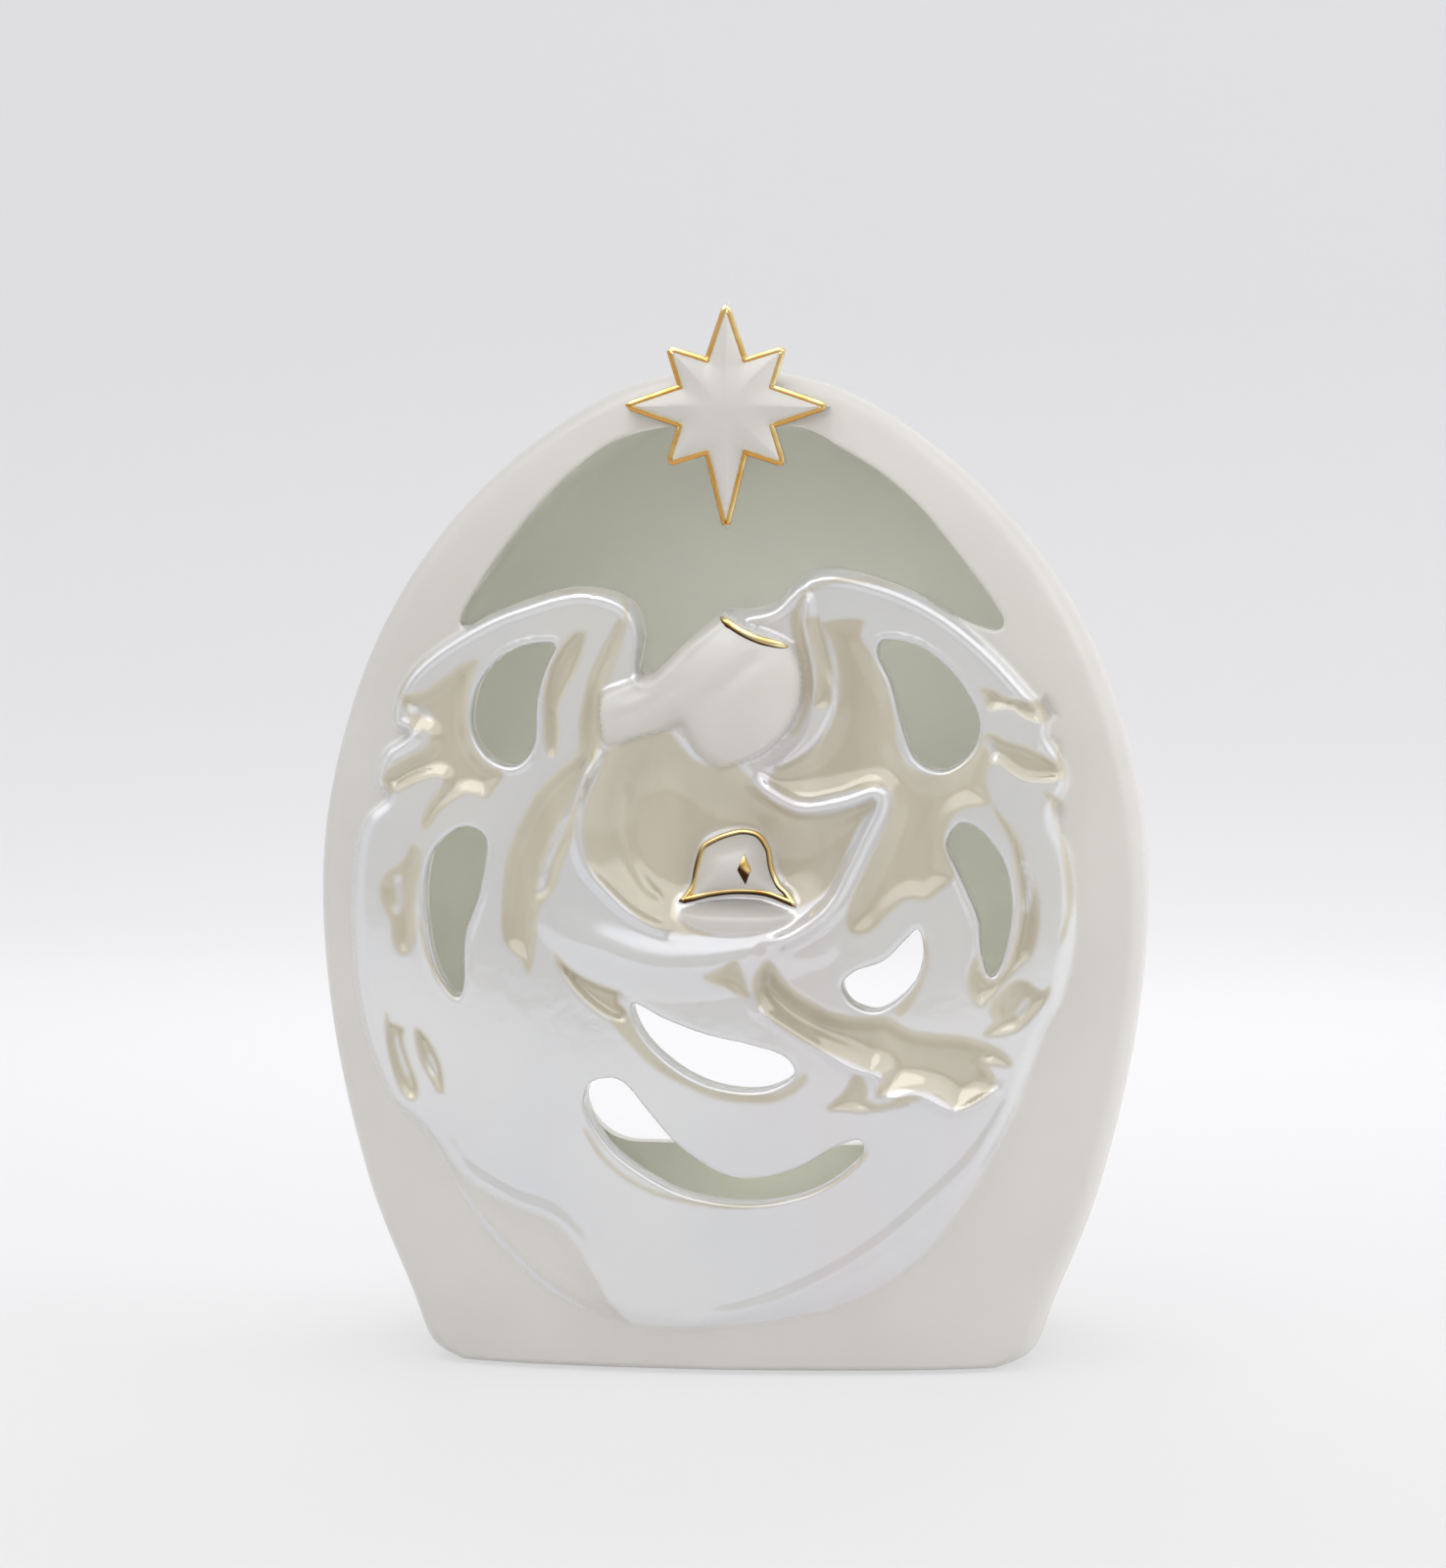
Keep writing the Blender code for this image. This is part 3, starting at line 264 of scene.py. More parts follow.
WING_EDGE = [
    (50.7, 92), (53.1, 90.8), (54.2, 88.4), (53.7, 86.1), (54.8, 81.3), (55.6, 76.6), (55, 71.9),
    (53.9, 67.9), (53.4, 68.7), (54.3, 73.4), (54, 79), (53.1, 85.3), (52, 89.2),
]
HEAD_STRIP = [
    (13.1, 119.4), (15, 119.7), (16, 117.2), (17.2, 112.2), (17.5, 108.2), (16.9, 105.6),
    (14.5, 105.5), (15, 109), (14.7, 112.9), (13.7, 116.9),
]
HEAD_GAP = [
    (10.6, 118.4), (11.5, 114.4), (12.6, 110.5), (12.6, 107), (12, 103.8), (10.7, 101), (12, 101.4),
    (13.7, 105.5), (14.4, 109.3), (13.7, 114), (12.6, 118.1), (11.8, 121.2), (10.9, 120.8),
]
UNDER_HEM = [
    (-47.2, 36.7), (-42.5, 29.6), (-34.6, 25.1), (-28.3, 22.8), (-24.3, 19.4), (-21.6, 14.7),
    (-18.5, 9.6), (-14.4, 4.5), (-22, 7.9), (-30.6, 13.6), (-37.8, 21), (-43.3, 28),
]
HEAD_OUTLINE = [
    (-0.2, 120.4), (4.1, 118.2), (9.6, 116), (11.7, 114), (12.6, 110.5), (12.3, 106.9),
    (10.9, 103.2), (8.8, 100.5), (6.5, 98.4), (4.1, 97.1), (1.4, 96.1), (-0.9, 95.6), (-3, 96.8),
    (-5.2, 99.1), (-7.1, 101), (-9.3, 101.4), (-14.1, 100.2), (-18.5, 98.7), (-19.4, 102.3),
    (-19.6, 105.9), (-18.6, 107.8), (-15.6, 109), (-12.5, 110.5), (-9.3, 112.8), (-6.2, 115.7),
    (-3, 118.4),
]

# Raised or sunk areas: outline, rise, width over which the edge rounds up
AREAS = [
    (HEAD_BAND, 1.5, 1.5),
    (LEFT_DISH, -1.5, 2.6),
    (SLIVER, -1.2, 1.5),
    (LONG_STRIP, -1.3, 2.4),
    (LEFT_SCOOP, -1.0, 2.4),
    (LEAF, -1.1, 1.3),
    (SMALL_LEAF, -1.0, 1.2),
    (ARM_FOLD, -1.6, 1.4),
    (SLEEVE_START, -0.9, 2.0),
    (SLEEVE, -2.2, 3.4),
    (POCKET, -0.9, 1.6),
    (RIGHT_HOLLOW, -1.1, 3.5),
    (RIGHT_STRIP, -1.2, 1.8),
    (RIGHT_PATCH, -1.0, 1.8),
    (UPPER_SCOOP, -1.1, 1.4),
    (MIDDLE_SCOOP, -1.2, 1.6),
    (WING_EDGE, -0.6, 0.8),
    (HEAD_STRIP, -0.6, 1.2),
    (HEAD_GAP, -0.5, 1.0),
    (UNDER_HEM, -0.7, 3.4),
]

# The angel stands out more at its wings than at its hem
WING_RISE = 2.2
WING_EDGE_ROUND = 2.4
HEM_RISE = 1.4
HEM_EDGE_ROUND = 3.6
HEM_TOP = 48.0

# Where the pearl lustre is painted beige as a painted reflection: the hollows above and the inside of the
# bowl and of two lips
BOWL_PAINTED_REFLECTION = [
    (-18.5, 98.5), (-19.9, 94.9), (-21.8, 90.6), (-22.7, 86.1), (-22.3, 81.7), (-20.9, 78.6),
    (-18.5, 75.9), (-15.6, 73.3), (-12.5, 70.8), (-8.5, 69.3), (-4.3, 68.8), (-1.4, 69.2),
    (-4.3, 70.2), (-6.8, 71.4), (-7.7, 73), (-7.4, 74.6), (-5.7, 77), (-4.7, 80.2), (-3.9, 83.3),
    (-2.7, 84.9), (0.9, 85.6), (4.6, 85.4), (7.3, 83.2), (8.4, 79.6), (10, 76.5), (11.8, 74.5),
    (12.1, 73.4), (15, 75), (17.2, 77), (19.3, 81), (20.9, 85.4), (22.7, 88.2), (24.4, 89.8),
    (23.9, 90.8), (19.9, 89.2), (16, 88.2), (12.5, 88.2), (8.8, 89.9), (5.7, 92.5), (3.8, 94.5),
    (1.7, 96.4), (-0.6, 95.7), (-4.3, 96.6), (-6.6, 98.8), (-8.1, 100.9), (-9.3, 101.4),
    (-14.1, 100.2),
]
SLOT_LIP = [
    (-18.5, 55.6), (-15.6, 56.2), (-13.7, 52.8), (-11.2, 49.7), (-7.4, 46.6), (-3, 44.5),
    (3.3, 43.4), (8.8, 43.8), (11.5, 45.7), (13.1, 47), (13.4, 45.8), (11.5, 43.7), (8.1, 42.2),
    (4.9, 42), (-0.6, 42.5), (-6.2, 44.7), (-11.2, 47.6), (-14.8, 51),
]
DROP_LIP = [
    (31.4, 68.2), (32.1, 64.3), (30.2, 60.3), (27.3, 57.1), (28.6, 56.3), (31, 59.5), (32.7, 64.3),
    (32.4, 68.3),
]
PAINTED_REFLECTION_AREAS = [outline for outline, rise, edge in AREAS if outline not in (HEAD_BAND, UNDER_HEM)]
PAINTED_REFLECTION_AREAS += [BOWL_PAINTED_REFLECTION, SLOT_LIP, DROP_LIP]

# Beige painted-reflection lines below the wings' rims and beside openings, and white lines across beige
# hollows, where the painted reflection gives way to painted highlights
PAINTED_REFLECTION_LINES = [
    [
        (-52.9, 106.4), (-50.7, 110.2), (-46.4, 114.7), (-40.9, 118.3), (-34.6, 121.1), (-28.3, 123),
        (-22, 123.7), (-17.2, 122.9), (-15.6, 120.7), (-16, 117.1), (-18.5, 109.1),
    ],
    [
        (12, 118.4), (12.3, 121.9), (14.4, 124.3), (19.1, 125.5), (24.6, 125), (31.8, 123.2), (38.9, 119.6),
        (44.4, 115.1), (48.3, 110.4), (51, 105.8),
    ],
    [(-49.1, 70.6), (-48.2, 65.9), (-46.3, 61.9), (-43.4, 58.2)],
    [
        (-22.3, 37.2), (-18.8, 32.2), (-13.3, 28.3), (-6.2, 26.1), (2.5, 25.3), (11.2, 26.8), (18.3, 29.8),
        (23.1, 34.1),
    ],
]
PAINTED_HIGHLIGHT_LINES = [
    [(-21.6, 95.9), (-23.5, 91.2), (-25.9, 86.1), (-28.3, 79.7), (-29.4, 75.7)],
    [(-52.8, 77.1), (-52.6, 74.1), (-52.9, 71.9)],
    [(-53.2, 50.8), (-52.3, 47.9), (-51.5, 45.7)],
    [(-47.7, 48), (-46.8, 45.8)],
    [(47.7, 80.4), (48.7, 77.3), (48, 73.3)],
    [(48.2, 58.3), (46.9, 56.5)],
    [(42, 99.7), (43.1, 97.7)],
    [(-51.2, 103.9), (-49.1, 104.2), (-47.6, 103)],
]

# Bell and its mouth: outline, rise, width over which they swell up; then how far their edges are blurred
DOMES = [(BELL, 5.4, 6.0), (BELL_MOUTH, 4.4, 5.0)]
DOME_SPREAD = 0.9

# Hollow of the robe in front of the chest
BOWL_DEPTH = 4.4
BOWL_SPREAD = 3.4
BOWL_EDGE = 6.0

# Ridges and, with a negative height, grooves: run of points, half width of the foot, height
STROKES = [
    # bowl rim, and the fold inside it
    ([
        (-18.8, 98.8), (-22.4, 92.4), (-23.4, 85.5), (-22.2, 80), (-18.6, 75.6), (-14.2, 71.8), (-8, 69),
    ], 1.6, 0.9),
    ([(-15.6, 94), (-16, 86), (-14.5, 79.5), (-10.5, 73.9)], 1.6, 0.8),
    ([(-12, 76.4), (-9.4, 73.2)], 0.9, 0.5),
    # collar and the edge of the sleeve
    ([
        (3.8, 94.6), (8, 91.4), (12.8, 89.4), (19.1, 90.4), (24.4, 92), (25.2, 89.4), (23, 84.6),
        (20.6, 79.6), (17.6, 74.2), (12.6, 69.8), (6, 66.8),
    ], 2.3, 2.1),
    # arm below the bowl
    ([(-27, 74.5), (-22, 68.4), (-12.5, 64.4), (-3, 64.2), (4.9, 66), (14, 69)], 5.8, 1.2),
    # lower hem of the trailing sleeve
    ([
        (4.9, 57.4), (12.8, 52.4), (20, 48), (24.6, 46.4), (25.6, 43.4), (31, 43.4), (37.4, 41), (44.6, 45),
    ], 1.1, 0.8),
    # fold between the face and the hair, and two strands of hair
    ([(-6.4, 105.4), (-2, 107.6), (1.6, 110), (4.6, 112.6), (8, 114.6)], 2.2, -0.6),
    ([(-4.4, 115), (-8.6, 111.4), (-13, 108), (-17.4, 106.2)], 1.3, -0.3),
    ([(-4.8, 110.2), (-9.6, 106.8), (-14, 104.6), (-18, 103.4)], 1.4, -0.35),
    # left wing: feathers' crests
    ([(-53.6, 98.6), (-50.4, 99.6), (-48.4, 100.6)], 1.4, 0.5),
    ([(-20.6, 97), (-24.6, 88.4), (-28.4, 80.6), (-29.6, 75)], 1.5, 0.9),
    # right wing
    ([(33.6, 96.5), (33.2, 88), (31, 80)], 3.4, -0.5),
    # skirt folds
    ([(47.5, 44.5), (41.5, 35), (34.9, 28), (22.3, 17.4), (6.5, 9.3), (-9, 5.6)], 2.0, 0.45),
    ([
        (-46, 37.6), (-42.5, 30.6), (-34.6, 25.7), (-28.3, 23.4), (-24.3, 19.8), (-21.6, 15), (-18.5, 9.9),
    ], 2.6, 0.35),
]

# Face, cap of hair and its trailing end: middle, half width, half height, lean to the right in degrees, rise;
# then how the three run together, how full they are, how steep their edge is, and how far the inside follows
HEAD = [
    (2.9, 107.4, 9.8, 12.5, 12.0, 6.6),
    (-3.6, 111.6, 6.6, 13.0, 50.0, 5.2),
    (-14.1, 104.8, 5.2, 11.0, 74.0, 3.8),
]
HEAD_BLEND = 3.0
HEAD_FULL = 0.6
HEAD_EDGE = 0.8
HEAD_HOLLOW = 0.55

# Rim along the top of both wings, and the lips of the wing holes
RIM_HALF = 1.25
RIM_HEIGHT = 0.9
RIM_FROM = 86.0
RIM_TO = 104.0
LIP_HALF = 0.7
LIP_HEIGHT = 0.2

# Widths over which one glaze turns into the next and the painted reflection fades in, and the share of beige
# painted reflection or white painted highlight in a painted line
LUSTRE_BLEND = 0.8
PLAIN_BLEND = 0.6
PAINTED_REFLECTION_BLEND = 0.7
PAINTED_REFLECTION_LINE_HALF = 0.38
PAINTED_REFLECTION_LINE_SHARE = 0.85
PAINTED_HIGHLIGHT_LINE_HALF = 0.55
PAINTED_HIGHLIGHT_LINE_SHARE = 0.75

# Gold: the star's line as a share of its outline, the halo, the bell's line inside its edge, width and height
# of each line, sides of a bead, and the lozenge on the bell by its middle, half width and half height
GOLD_INSET = 0.95
HALO = [(-0.3, 119.6), (3.2, 117.4), (6.4, 116.0), (10.4, 115.0)]
BELL_LINE_INSET = 0.7
STAR_LINE = (1.35, 0.45)
HALO_LINE = (1.5, 0.45)
BELL_LINE = (1.1, 0.5)
BEAD_SIDES = 10
LOZENGE = (3.4, 79.4, 1.1, 2.6)
LOZENGE_THICK = 0.35
LOZENGE_POINTS = 32
LOZENGE_STEPS = (1.0, 0.9, 0.7, 0.4)


def rounded(points, closed):
    """A smooth run through the points."""
    knots = np.array(points, float) - (0, DRAWN_BASE)
    count = len(knots)
    spans = count if closed else count - 1
    run = []
    for i in range(spans):
        if closed:
            a, b, c, d = (knots[(i + k) % count] for k in (-1, 0, 1, 2))
        else:
            a, b, c, d = (knots[min(max(i + k, 0), count - 1)] for k in (-1, 0, 1, 2))
        for t in np.linspace(0, 1, SPAN_STEPS, endpoint=False):
            bend = (2 * a - 5 * b + 4 * c - d) * t**2 + (3 * b - a - 3 * c + d) * t**3
            run.append(0.5 * (2 * b + (c - a) * t + bend))
    if not closed:
        run.append(knots[-1])
    return np.array(run)


def even(run, step, closed):
    """The same run with points an equal way apart."""
    path = np.vstack([run, run[:1]]) if closed else run
    along = np.concatenate([[0], np.cumsum(np.linalg.norm(np.diff(path, axis=0), axis=1))])
    count = max(8, round(along[-1] / step))
    at = np.linspace(0, along[-1], count + (not closed), endpoint=not closed)
    return np.column_stack([np.interp(at, along, path[:, 0]), np.interp(at, along, path[:, 1])])


def distance(spots, run, closed):
    """How far each spot is from the run."""
    path = np.vstack([run, run[:1]]) if closed else run
    starts = path[:-1]
    steps = np.diff(path, axis=0)
    lengths = np.maximum((steps**2).sum(axis=1), 1e-12)
    nearest = np.full(len(spots), np.inf)
    for first in range(0, len(starts), 32):
        part = slice(first, first + 32)
        away = spots[:, None] - starts[part]
        share = np.clip((away * steps[part]).sum(axis=2) / lengths[part], 0, 1)
        miss = away - share[..., None] * steps[part]
        nearest = np.minimum(nearest, (miss**2).sum(axis=2).min(axis=1))
    return np.sqrt(nearest)


def inside(spots, loop):
    """Whether each spot lies inside the closed loop."""
    within = np.zeros(len(spots), bool)
    for (x0, z0), (x1, z1) in zip(loop, np.roll(loop, -1, axis=0)):
        if z0 == z1:
            continue
        crosses = (spots[:, 1] < z0) != (spots[:, 1] < z1)
        reach = x0 + (spots[:, 1] - z0) * (x1 - x0) / (z1 - z0)
        within ^= crosses & (spots[:, 0] < reach)
    return within


def depth_inside(spots, loop):
    """Distance from the loop, negative outside it."""
    gap = distance(spots, loop, True)
    return np.where(inside(spots, loop), gap, -gap)


def shoulder(share):
    """A rise from 0 to 1 that starts steeply."""
    return np.sin(np.clip(share, 0, 1) * math.pi / 2)


def ease(share):
    """A rise from 0 to 1 that starts and ends softly."""
    share = np.clip(share, 0, 1)
    return share * share * (3 - 2 * share)


def hump(share):
    return np.cos(np.clip(np.abs(share), 0, 1) * math.pi / 2) ** 2


def shell_outline():
    right = rounded(OUTLINE[1:], False)
    base = right[:1] * (1, 0)
    left = right[-2::-1] * (-1, 1)
    loop = even(np.vstack([base, right, left]), OUTLINE_STEP, True)
    loop[np.abs(loop[:, 1]) < 0.2, 1] = 0
    return loop


def both_sides(side):
    """A right-hand side that ends at the top, run on down the left."""
    return np.vstack([side, side[-2::-1] * (-1, 1)])


SHELL = shell_outline()
FINE_SHELL = both_sides(rounded(OUTLINE[1:], False))
SIDE = rounded(OUTLINE[2:], False)
SIDE_FOOT = SIDE[SPAN_STEPS] - SIDE[0]
BELOW = SIDE[0] - SIDE_FOOT / np.linalg.norm(SIDE_FOOT) * CROWN_BELOW
CROWN_SHELL = both_sides(np.vstack([BELOW, SIDE]))
BOWL_LOOP = rounded(BOWL, True)
EDGE_Y = -DEPTH / 2


def outward(loop):
    """Outward normals of a loop that runs anticlockwise seen from the front, evened out along it."""
    reach = round(EVENED_REACH / OUTLINE_STEP)
    along = np.roll(loop, -reach, axis=0) - np.roll(loop, reach, axis=0)
    along /= np.linalg.norm(along, axis=1)[:, None]
    return np.column_stack([along[:, 1], -along[:, 0]])


def inset(amount):
    """The shell's outline moved inwards, less so along the base."""
    normals = outward(SHELL)
    share = 1 - (1 - BASE_SHARE) * np.clip(-normals[:, 1], 0, 1) ** 4
    return SHELL - normals * (amount * share)[:, None]


def belly():
    """The shell's outline moved outwards at its sides."""
    across = outward(SHELL)[:, 0]
    return SHELL + np.column_stack([BELLY * across * np.abs(across), np.zeros(len(SHELL))])


def head_bump(spots):
    """The face and hair, each a flat egg, run softly into one another."""
    total = np.zeros(len(spots))
    for x, z, half, tall, lean, rise in HEAD:
        away = spots - np.array([x, z - DRAWN_BASE])
        turn = math.radians(lean)
        across = away[:, 0] * math.cos(turn) - away[:, 1] * math.sin(turn)
        along = away[:, 0] * math.sin(turn) + away[:, 1] * math.cos(turn)
        share = (across / half) ** 2 + (along / tall) ** 2
        total += (rise * np.clip(1 - share, 0, 1) ** HEAD_FULL) ** HEAD_BLEND
    edge = depth_near(spots, rounded(HEAD_OUTLINE, True), 1.0) / HEAD_EDGE
    return total ** (1 / HEAD_BLEND) * ease(edge + 0.5)


def spread(shape, spots, radius):
    """The average of a shape over a disc: its middle and two rings of six."""
    shifts = [np.zeros(2)]
    for share in (0.5, 1.0):
        for turn in np.linspace(0, 2 * math.pi, 7)[:6] + share * math.pi / 3:
            shifts.append(radius * share * np.array([math.cos(turn), math.sin(turn)]))
    return sum(shape(spots + shift) for shift in shifts) / len(shifts)


def swelling(spots, loop, curve, edge, blur):
    """From 0 at the loop to 1 inside it, along the curve, with its edge blurred."""
    swell = np.zeros(len(spots))
    close = near(spots, loop, blur)
    swell[close] = spread(lambda at: curve(depth_inside(at, loop) / edge), spots[close], blur)
    return swell


def bowl_dip(spots):
    return BOWL_DEPTH * swelling(spots, BOWL_LOOP, ease, BOWL_EDGE, BOWL_SPREAD)


def near(spots, run, reach):
    """Which spots lie in the run's box, widened by the reach."""
    return ((spots > run.min(axis=0) - reach) & (spots < run.max(axis=0) + reach)).all(axis=1)


def depth_near(spots, loop, reach):
    """Depth inside the loop, cut off at the reach outside it."""
    depth = np.full(len(spots), -float(reach))
    close = near(spots, loop, reach)
    depth[close] = np.maximum(depth_inside(spots[close], loop), -reach)
    return depth


def line_near(spots, run, closed, reach):
    """Distance from the run, cut off at the reach."""
    gap = np.full(len(spots), float(reach))
    close = near(spots, run, reach)
    gap[close] = np.minimum(distance(spots[close], run, closed), reach)
    return gap


def relief(spots):
    """How far the carving stands out from the plain front."""
    lift = head_bump(spots) - bowl_dip(spots)
    angel = depth_inside(spots, rounded(ANGEL, True))
    share = ease(spots[:, 1] / HEM_TOP)
    rise = HEM_RISE + (WING_RISE - HEM_RISE) * share
    lift += rise * shoulder(angel / (HEM_EDGE_ROUND + (WING_EDGE_ROUND - HEM_EDGE_ROUND) * share))
    for outline, rise, edge in AREAS:
        lift += rise * ease(depth_near(spots, rounded(outline, True), 0.1) / edge)
    for outline, rise, edge in DOMES:
        lift += rise * swelling(spots, rounded(outline, True), shoulder, edge, DOME_SPREAD)
    for points, foot, height in STROKES:
        run = rounded(points, False)
        tip = np.linalg.norm(spots[:, None] - run[[0, -1]], axis=2).min(axis=1)
        lift += height * ease(tip / (2 * foot)) * hump(line_near(spots, run, False, foot) / foot)
    high = ease((spots[:, 1] - RIM_FROM) / (RIM_TO - RIM_FROM))
    lift += RIM_HEIGHT * high * hump((angel - RIM_HALF) / RIM_HALF)
    for hole in WING_HOLES:
        gap = line_near(spots, rounded(hole, True), True, LIP_HALF * 2)
        lift += LIP_HEIGHT * hump((gap - LIP_HALF) / LIP_HALF)
    return lift * ease(depth_inside(spots, FINE_SHELL) / (FRONT_ROUND + 2))


def plain_front(spots):
    gap = np.clip(depth_inside(spots, CROWN_SHELL), 0, None)
    return EDGE_Y - CROWN * (1 - np.exp(-gap / CROWN_SPREAD))


def outer_front(spots):
    return plain_front(spots) - relief(spots)


def inner_front(spots):
    return plain_front(spots) + WALL + bowl_dip(spots) - HEAD_HOLLOW * head_bump(spots)


def outer_back(spots):
    gap = np.clip(depth_inside(spots, FINE_SHELL) - BACK_ROUND, 0, None)
    return DEPTH / 2 + BACK_SWELL * (1 - np.exp(-gap / BACK_SPREAD))


def inner_back(spots):
    return outer_back(spots) - WALL


def outer_rings():
    rings = []
    start = plain_front(inset(FRONT_ROUND))
    slope = CROWN / CROWN_SPREAD * math.exp(-FRONT_ROUND / CROWN_SPREAD)
    first = math.atan(slope * FRONT_ROUND / FRONT_RUN)
    for share in np.linspace(0, 1, 11)[1:]:
        angle = first + (math.pi / 2 - first) * share
        across = (1 - math.sin(angle)) / (1 - math.sin(first))
        rings.append((inset(FRONT_ROUND * across), start + FRONT_RUN * (math.cos(first) - math.cos(angle))))
    front = rings[-1][1]
    back = DEPTH / 2 - BACK_RUN
    for share in np.linspace(0, 1, 13)[1:-1]:
        swell = math.sin(math.pi * share)
        rings.append((SHELL + (belly() - SHELL) * swell, front + (back - front) * share))
    for turn in range(0, 90, 10):
        angle = math.radians(turn)
        run = BACK_RUN * (1 - math.sin(angle))
        rings.append((inset(BACK_ROUND * (1 - math.cos(angle))), DEPTH / 2 - run))
    return rings


def hollow(amount):
    """The inside outline, with the floor at its own height."""
    loop = inset(amount)
    loop[:, 1] = np.maximum(loop[:, 1], FLOOR)
    return loop


def inner_rings():
    front = inner_front(hollow(WALL + LINING_ROUND))
    rings = []
    for turn in range(15, 91, 15):
        angle = math.radians(turn)
        run = LINING_ROUND * 2 * (1 - math.cos(angle))
        rings.append((hollow(WALL + LINING_ROUND * (1 - math.sin(angle))), front + run))
    back = DEPTH / 2 - BACK_RUN
    start = rings[-1][1]
    for share in np.linspace(0, 1, 9)[1:-1]:
        rings.append((hollow(WALL), start + (back - start) * share))
    for turn in range(0, 90, 15):
        angle = math.radians(turn)
        run = (BACK_RUN - WALL) * (1 - math.sin(angle))
        rings.append((hollow(WALL + BACK_ROUND * (1 - math.cos(angle))), DEPTH / 2 - WALL - run))
    return rings


def back_opening():
    half = OPENING_WIDTH / 2
    tall = OPENING_TOP - OPENING_SPRING
    arch = [(half * math.cos(a), OPENING_SPRING + tall * math.sin(a)) for a in np.linspace(0, math.pi, 61)]
    corner = half * OPENING_CORNER
    turns = np.linspace(0, math.pi / 2, 7)
    low = [(-half + corner * (1 - math.cos(a)), SILL + corner * (1 - math.sin(a))) for a in turns]
    low += [(-x, z) for x, z in low[::-1]]
    loop = even(np.array(arch + low), EDGE_STEP * 1.8, True)
    return (loop - (0, FLOOR)) / (1 - TAPER) + (0, FLOOR)


def narrowed(points):
    """The shell's points drawn in towards the back, above the floor."""
    x, y, z = points.T
    share = 1 - TAPER * np.clip(y / DEPTH + 0.5, 0, 1)
    return np.column_stack([x * share, y, np.minimum(z, FLOOR) + np.maximum(z - FLOOR, 0) * share])


def beside(loop, offset):
    """A closed loop moved outwards by the offset, whichever way it runs."""
    along = np.roll(loop, -1, axis=0) - np.roll(loop, 1, axis=0)
    along /= np.maximum(np.linalg.norm(along, axis=1), 1e-9)[:, None]
    area = cross(loop, np.roll(loop, -1, axis=0)).sum()
    return loop + np.column_stack([along[:, 1], -along[:, 0]]) * (offset * math.copysign(1, area))


def cross(a, b):
    return a[:, 0] * b[:, 1] - a[:, 1] * b[:, 0]


def staggered(low, high, step):
    rows = []
    for i, z in enumerate(np.arange(low[1], high[1], step * 0.866)):
        xs = np.arange(low[0] + (i % 2) * step / 2, high[0], step)
        rows.append(np.column_stack([xs, np.full(len(xs), z)]))
    return np.vstack(rows)


def triangles(region, holes, spots):
    """Triangles between a closed region and the holes in it, through the spots."""
    loops = [region, *holes]
    points = np.vstack([*loops, spots])
    edges = []
    first = 0
    for loop in loops:
        edges += [(first + i, first + (i + 1) % len(loop)) for i in range(len(loop))]
        first += len(loop)
    made = delaunay_2d_cdt([Vector(point) for point in points.tolist()], edges, [], 0, 1e-6)
    source = [origin[0] for origin in made[3]]
    corners = np.array([[source[v] for v in face] for face in made[2]])
    middle = points[corners].mean(axis=1)
    keep = inside(middle, region)
    for hole in holes:
        keep &= ~inside(middle, hole)
    return points, corners[keep]


class Skin:
    """Points, faces and glaze marks of a piece as it is put together."""

    def __init__(self):
        self.points = []
        self.faces = []
        self.marks = {"lustre": [], "within": [], "painted_reflection": []}

    def place(self, spots, ys, **marks):
        first = sum(map(len, self.points))
        count = len(spots)
        self.points.append(np.column_stack([spots[:, 0], np.broadcast_to(ys, count), spots[:, 1]]))
        for name, values in self.marks.items():
            values.append(np.broadcast_to(marks.get(name, 0.0), count).astype(float))
        return np.arange(first, first + count)

    def sheet(self, region, holes, spots, surface, within=0.0, glazed=False):
        points, corners = triangles(region, holes, spots)
        glazes = {"lustre": lustre_mark(points), "painted_reflection": painted_reflection_mark(points)} if glazed else {}
        numbers = self.place(points, surface(points), within=within, **glazes)
        self.faces.append(numbers[corners])
        rings = []
        first = 0
        for loop in [region, *holes]:
            rings.append(numbers[first:first + len(loop)])
            first += len(loop)
        return rings

    def bridge(self, ring, other):
        after = np.roll(ring, -1)
        beyond = np.roll(other, -1)
        self.faces.append(np.column_stack([ring, after, beyond]))
        self.faces.append(np.column_stack([ring, beyond, other]))

    def chain(self, first, rings, last, within=0.0):
        edge = first
        for spots, ys in rings:
            ring = self.place(spots, ys, within=within)
            self.bridge(edge, ring)
            edge = ring
        self.bridge(edge, last)

    def cap(self, ring, middle, y):
        """Close a ring with a fan around its middle."""
        centre = self.place(middle, y)[0]
        self.faces.append(np.column_stack([ring, np.roll(ring, -1), np.full(len(ring), centre)]))

    def mesh(self, name):
        return mesh_object(name, np.vstack(self.points), np.vstack(self.faces))


def lip(spots):
    """How far the front falls back where it rounds into a hole."""
    nearest = np.min([line_near(spots, rounded(hole, True), True, LIP) for hole in FRONT_HOLES], axis=0)
    share = np.clip(nearest / LIP, 0, 1)
    return LIP * (1 - np.sqrt(1 - (1 - share) ** 2))


def lustre_mark(spots):
    """1 where the pearl lustre lies, 0 on the plain glaze of the frame, head, hair and bell."""
    mark = ease(depth_inside(spots, rounded(ANGEL, True)) / LUSTRE_BLEND + 0.3)
    for plain in (HEAD_OUTLINE, BELL, BELL_MOUTH, UNDER_HEM):
        mark *= ease(-depth_near(spots, rounded(plain, True), 1.0) / PLAIN_BLEND + 0.5)
    return mark


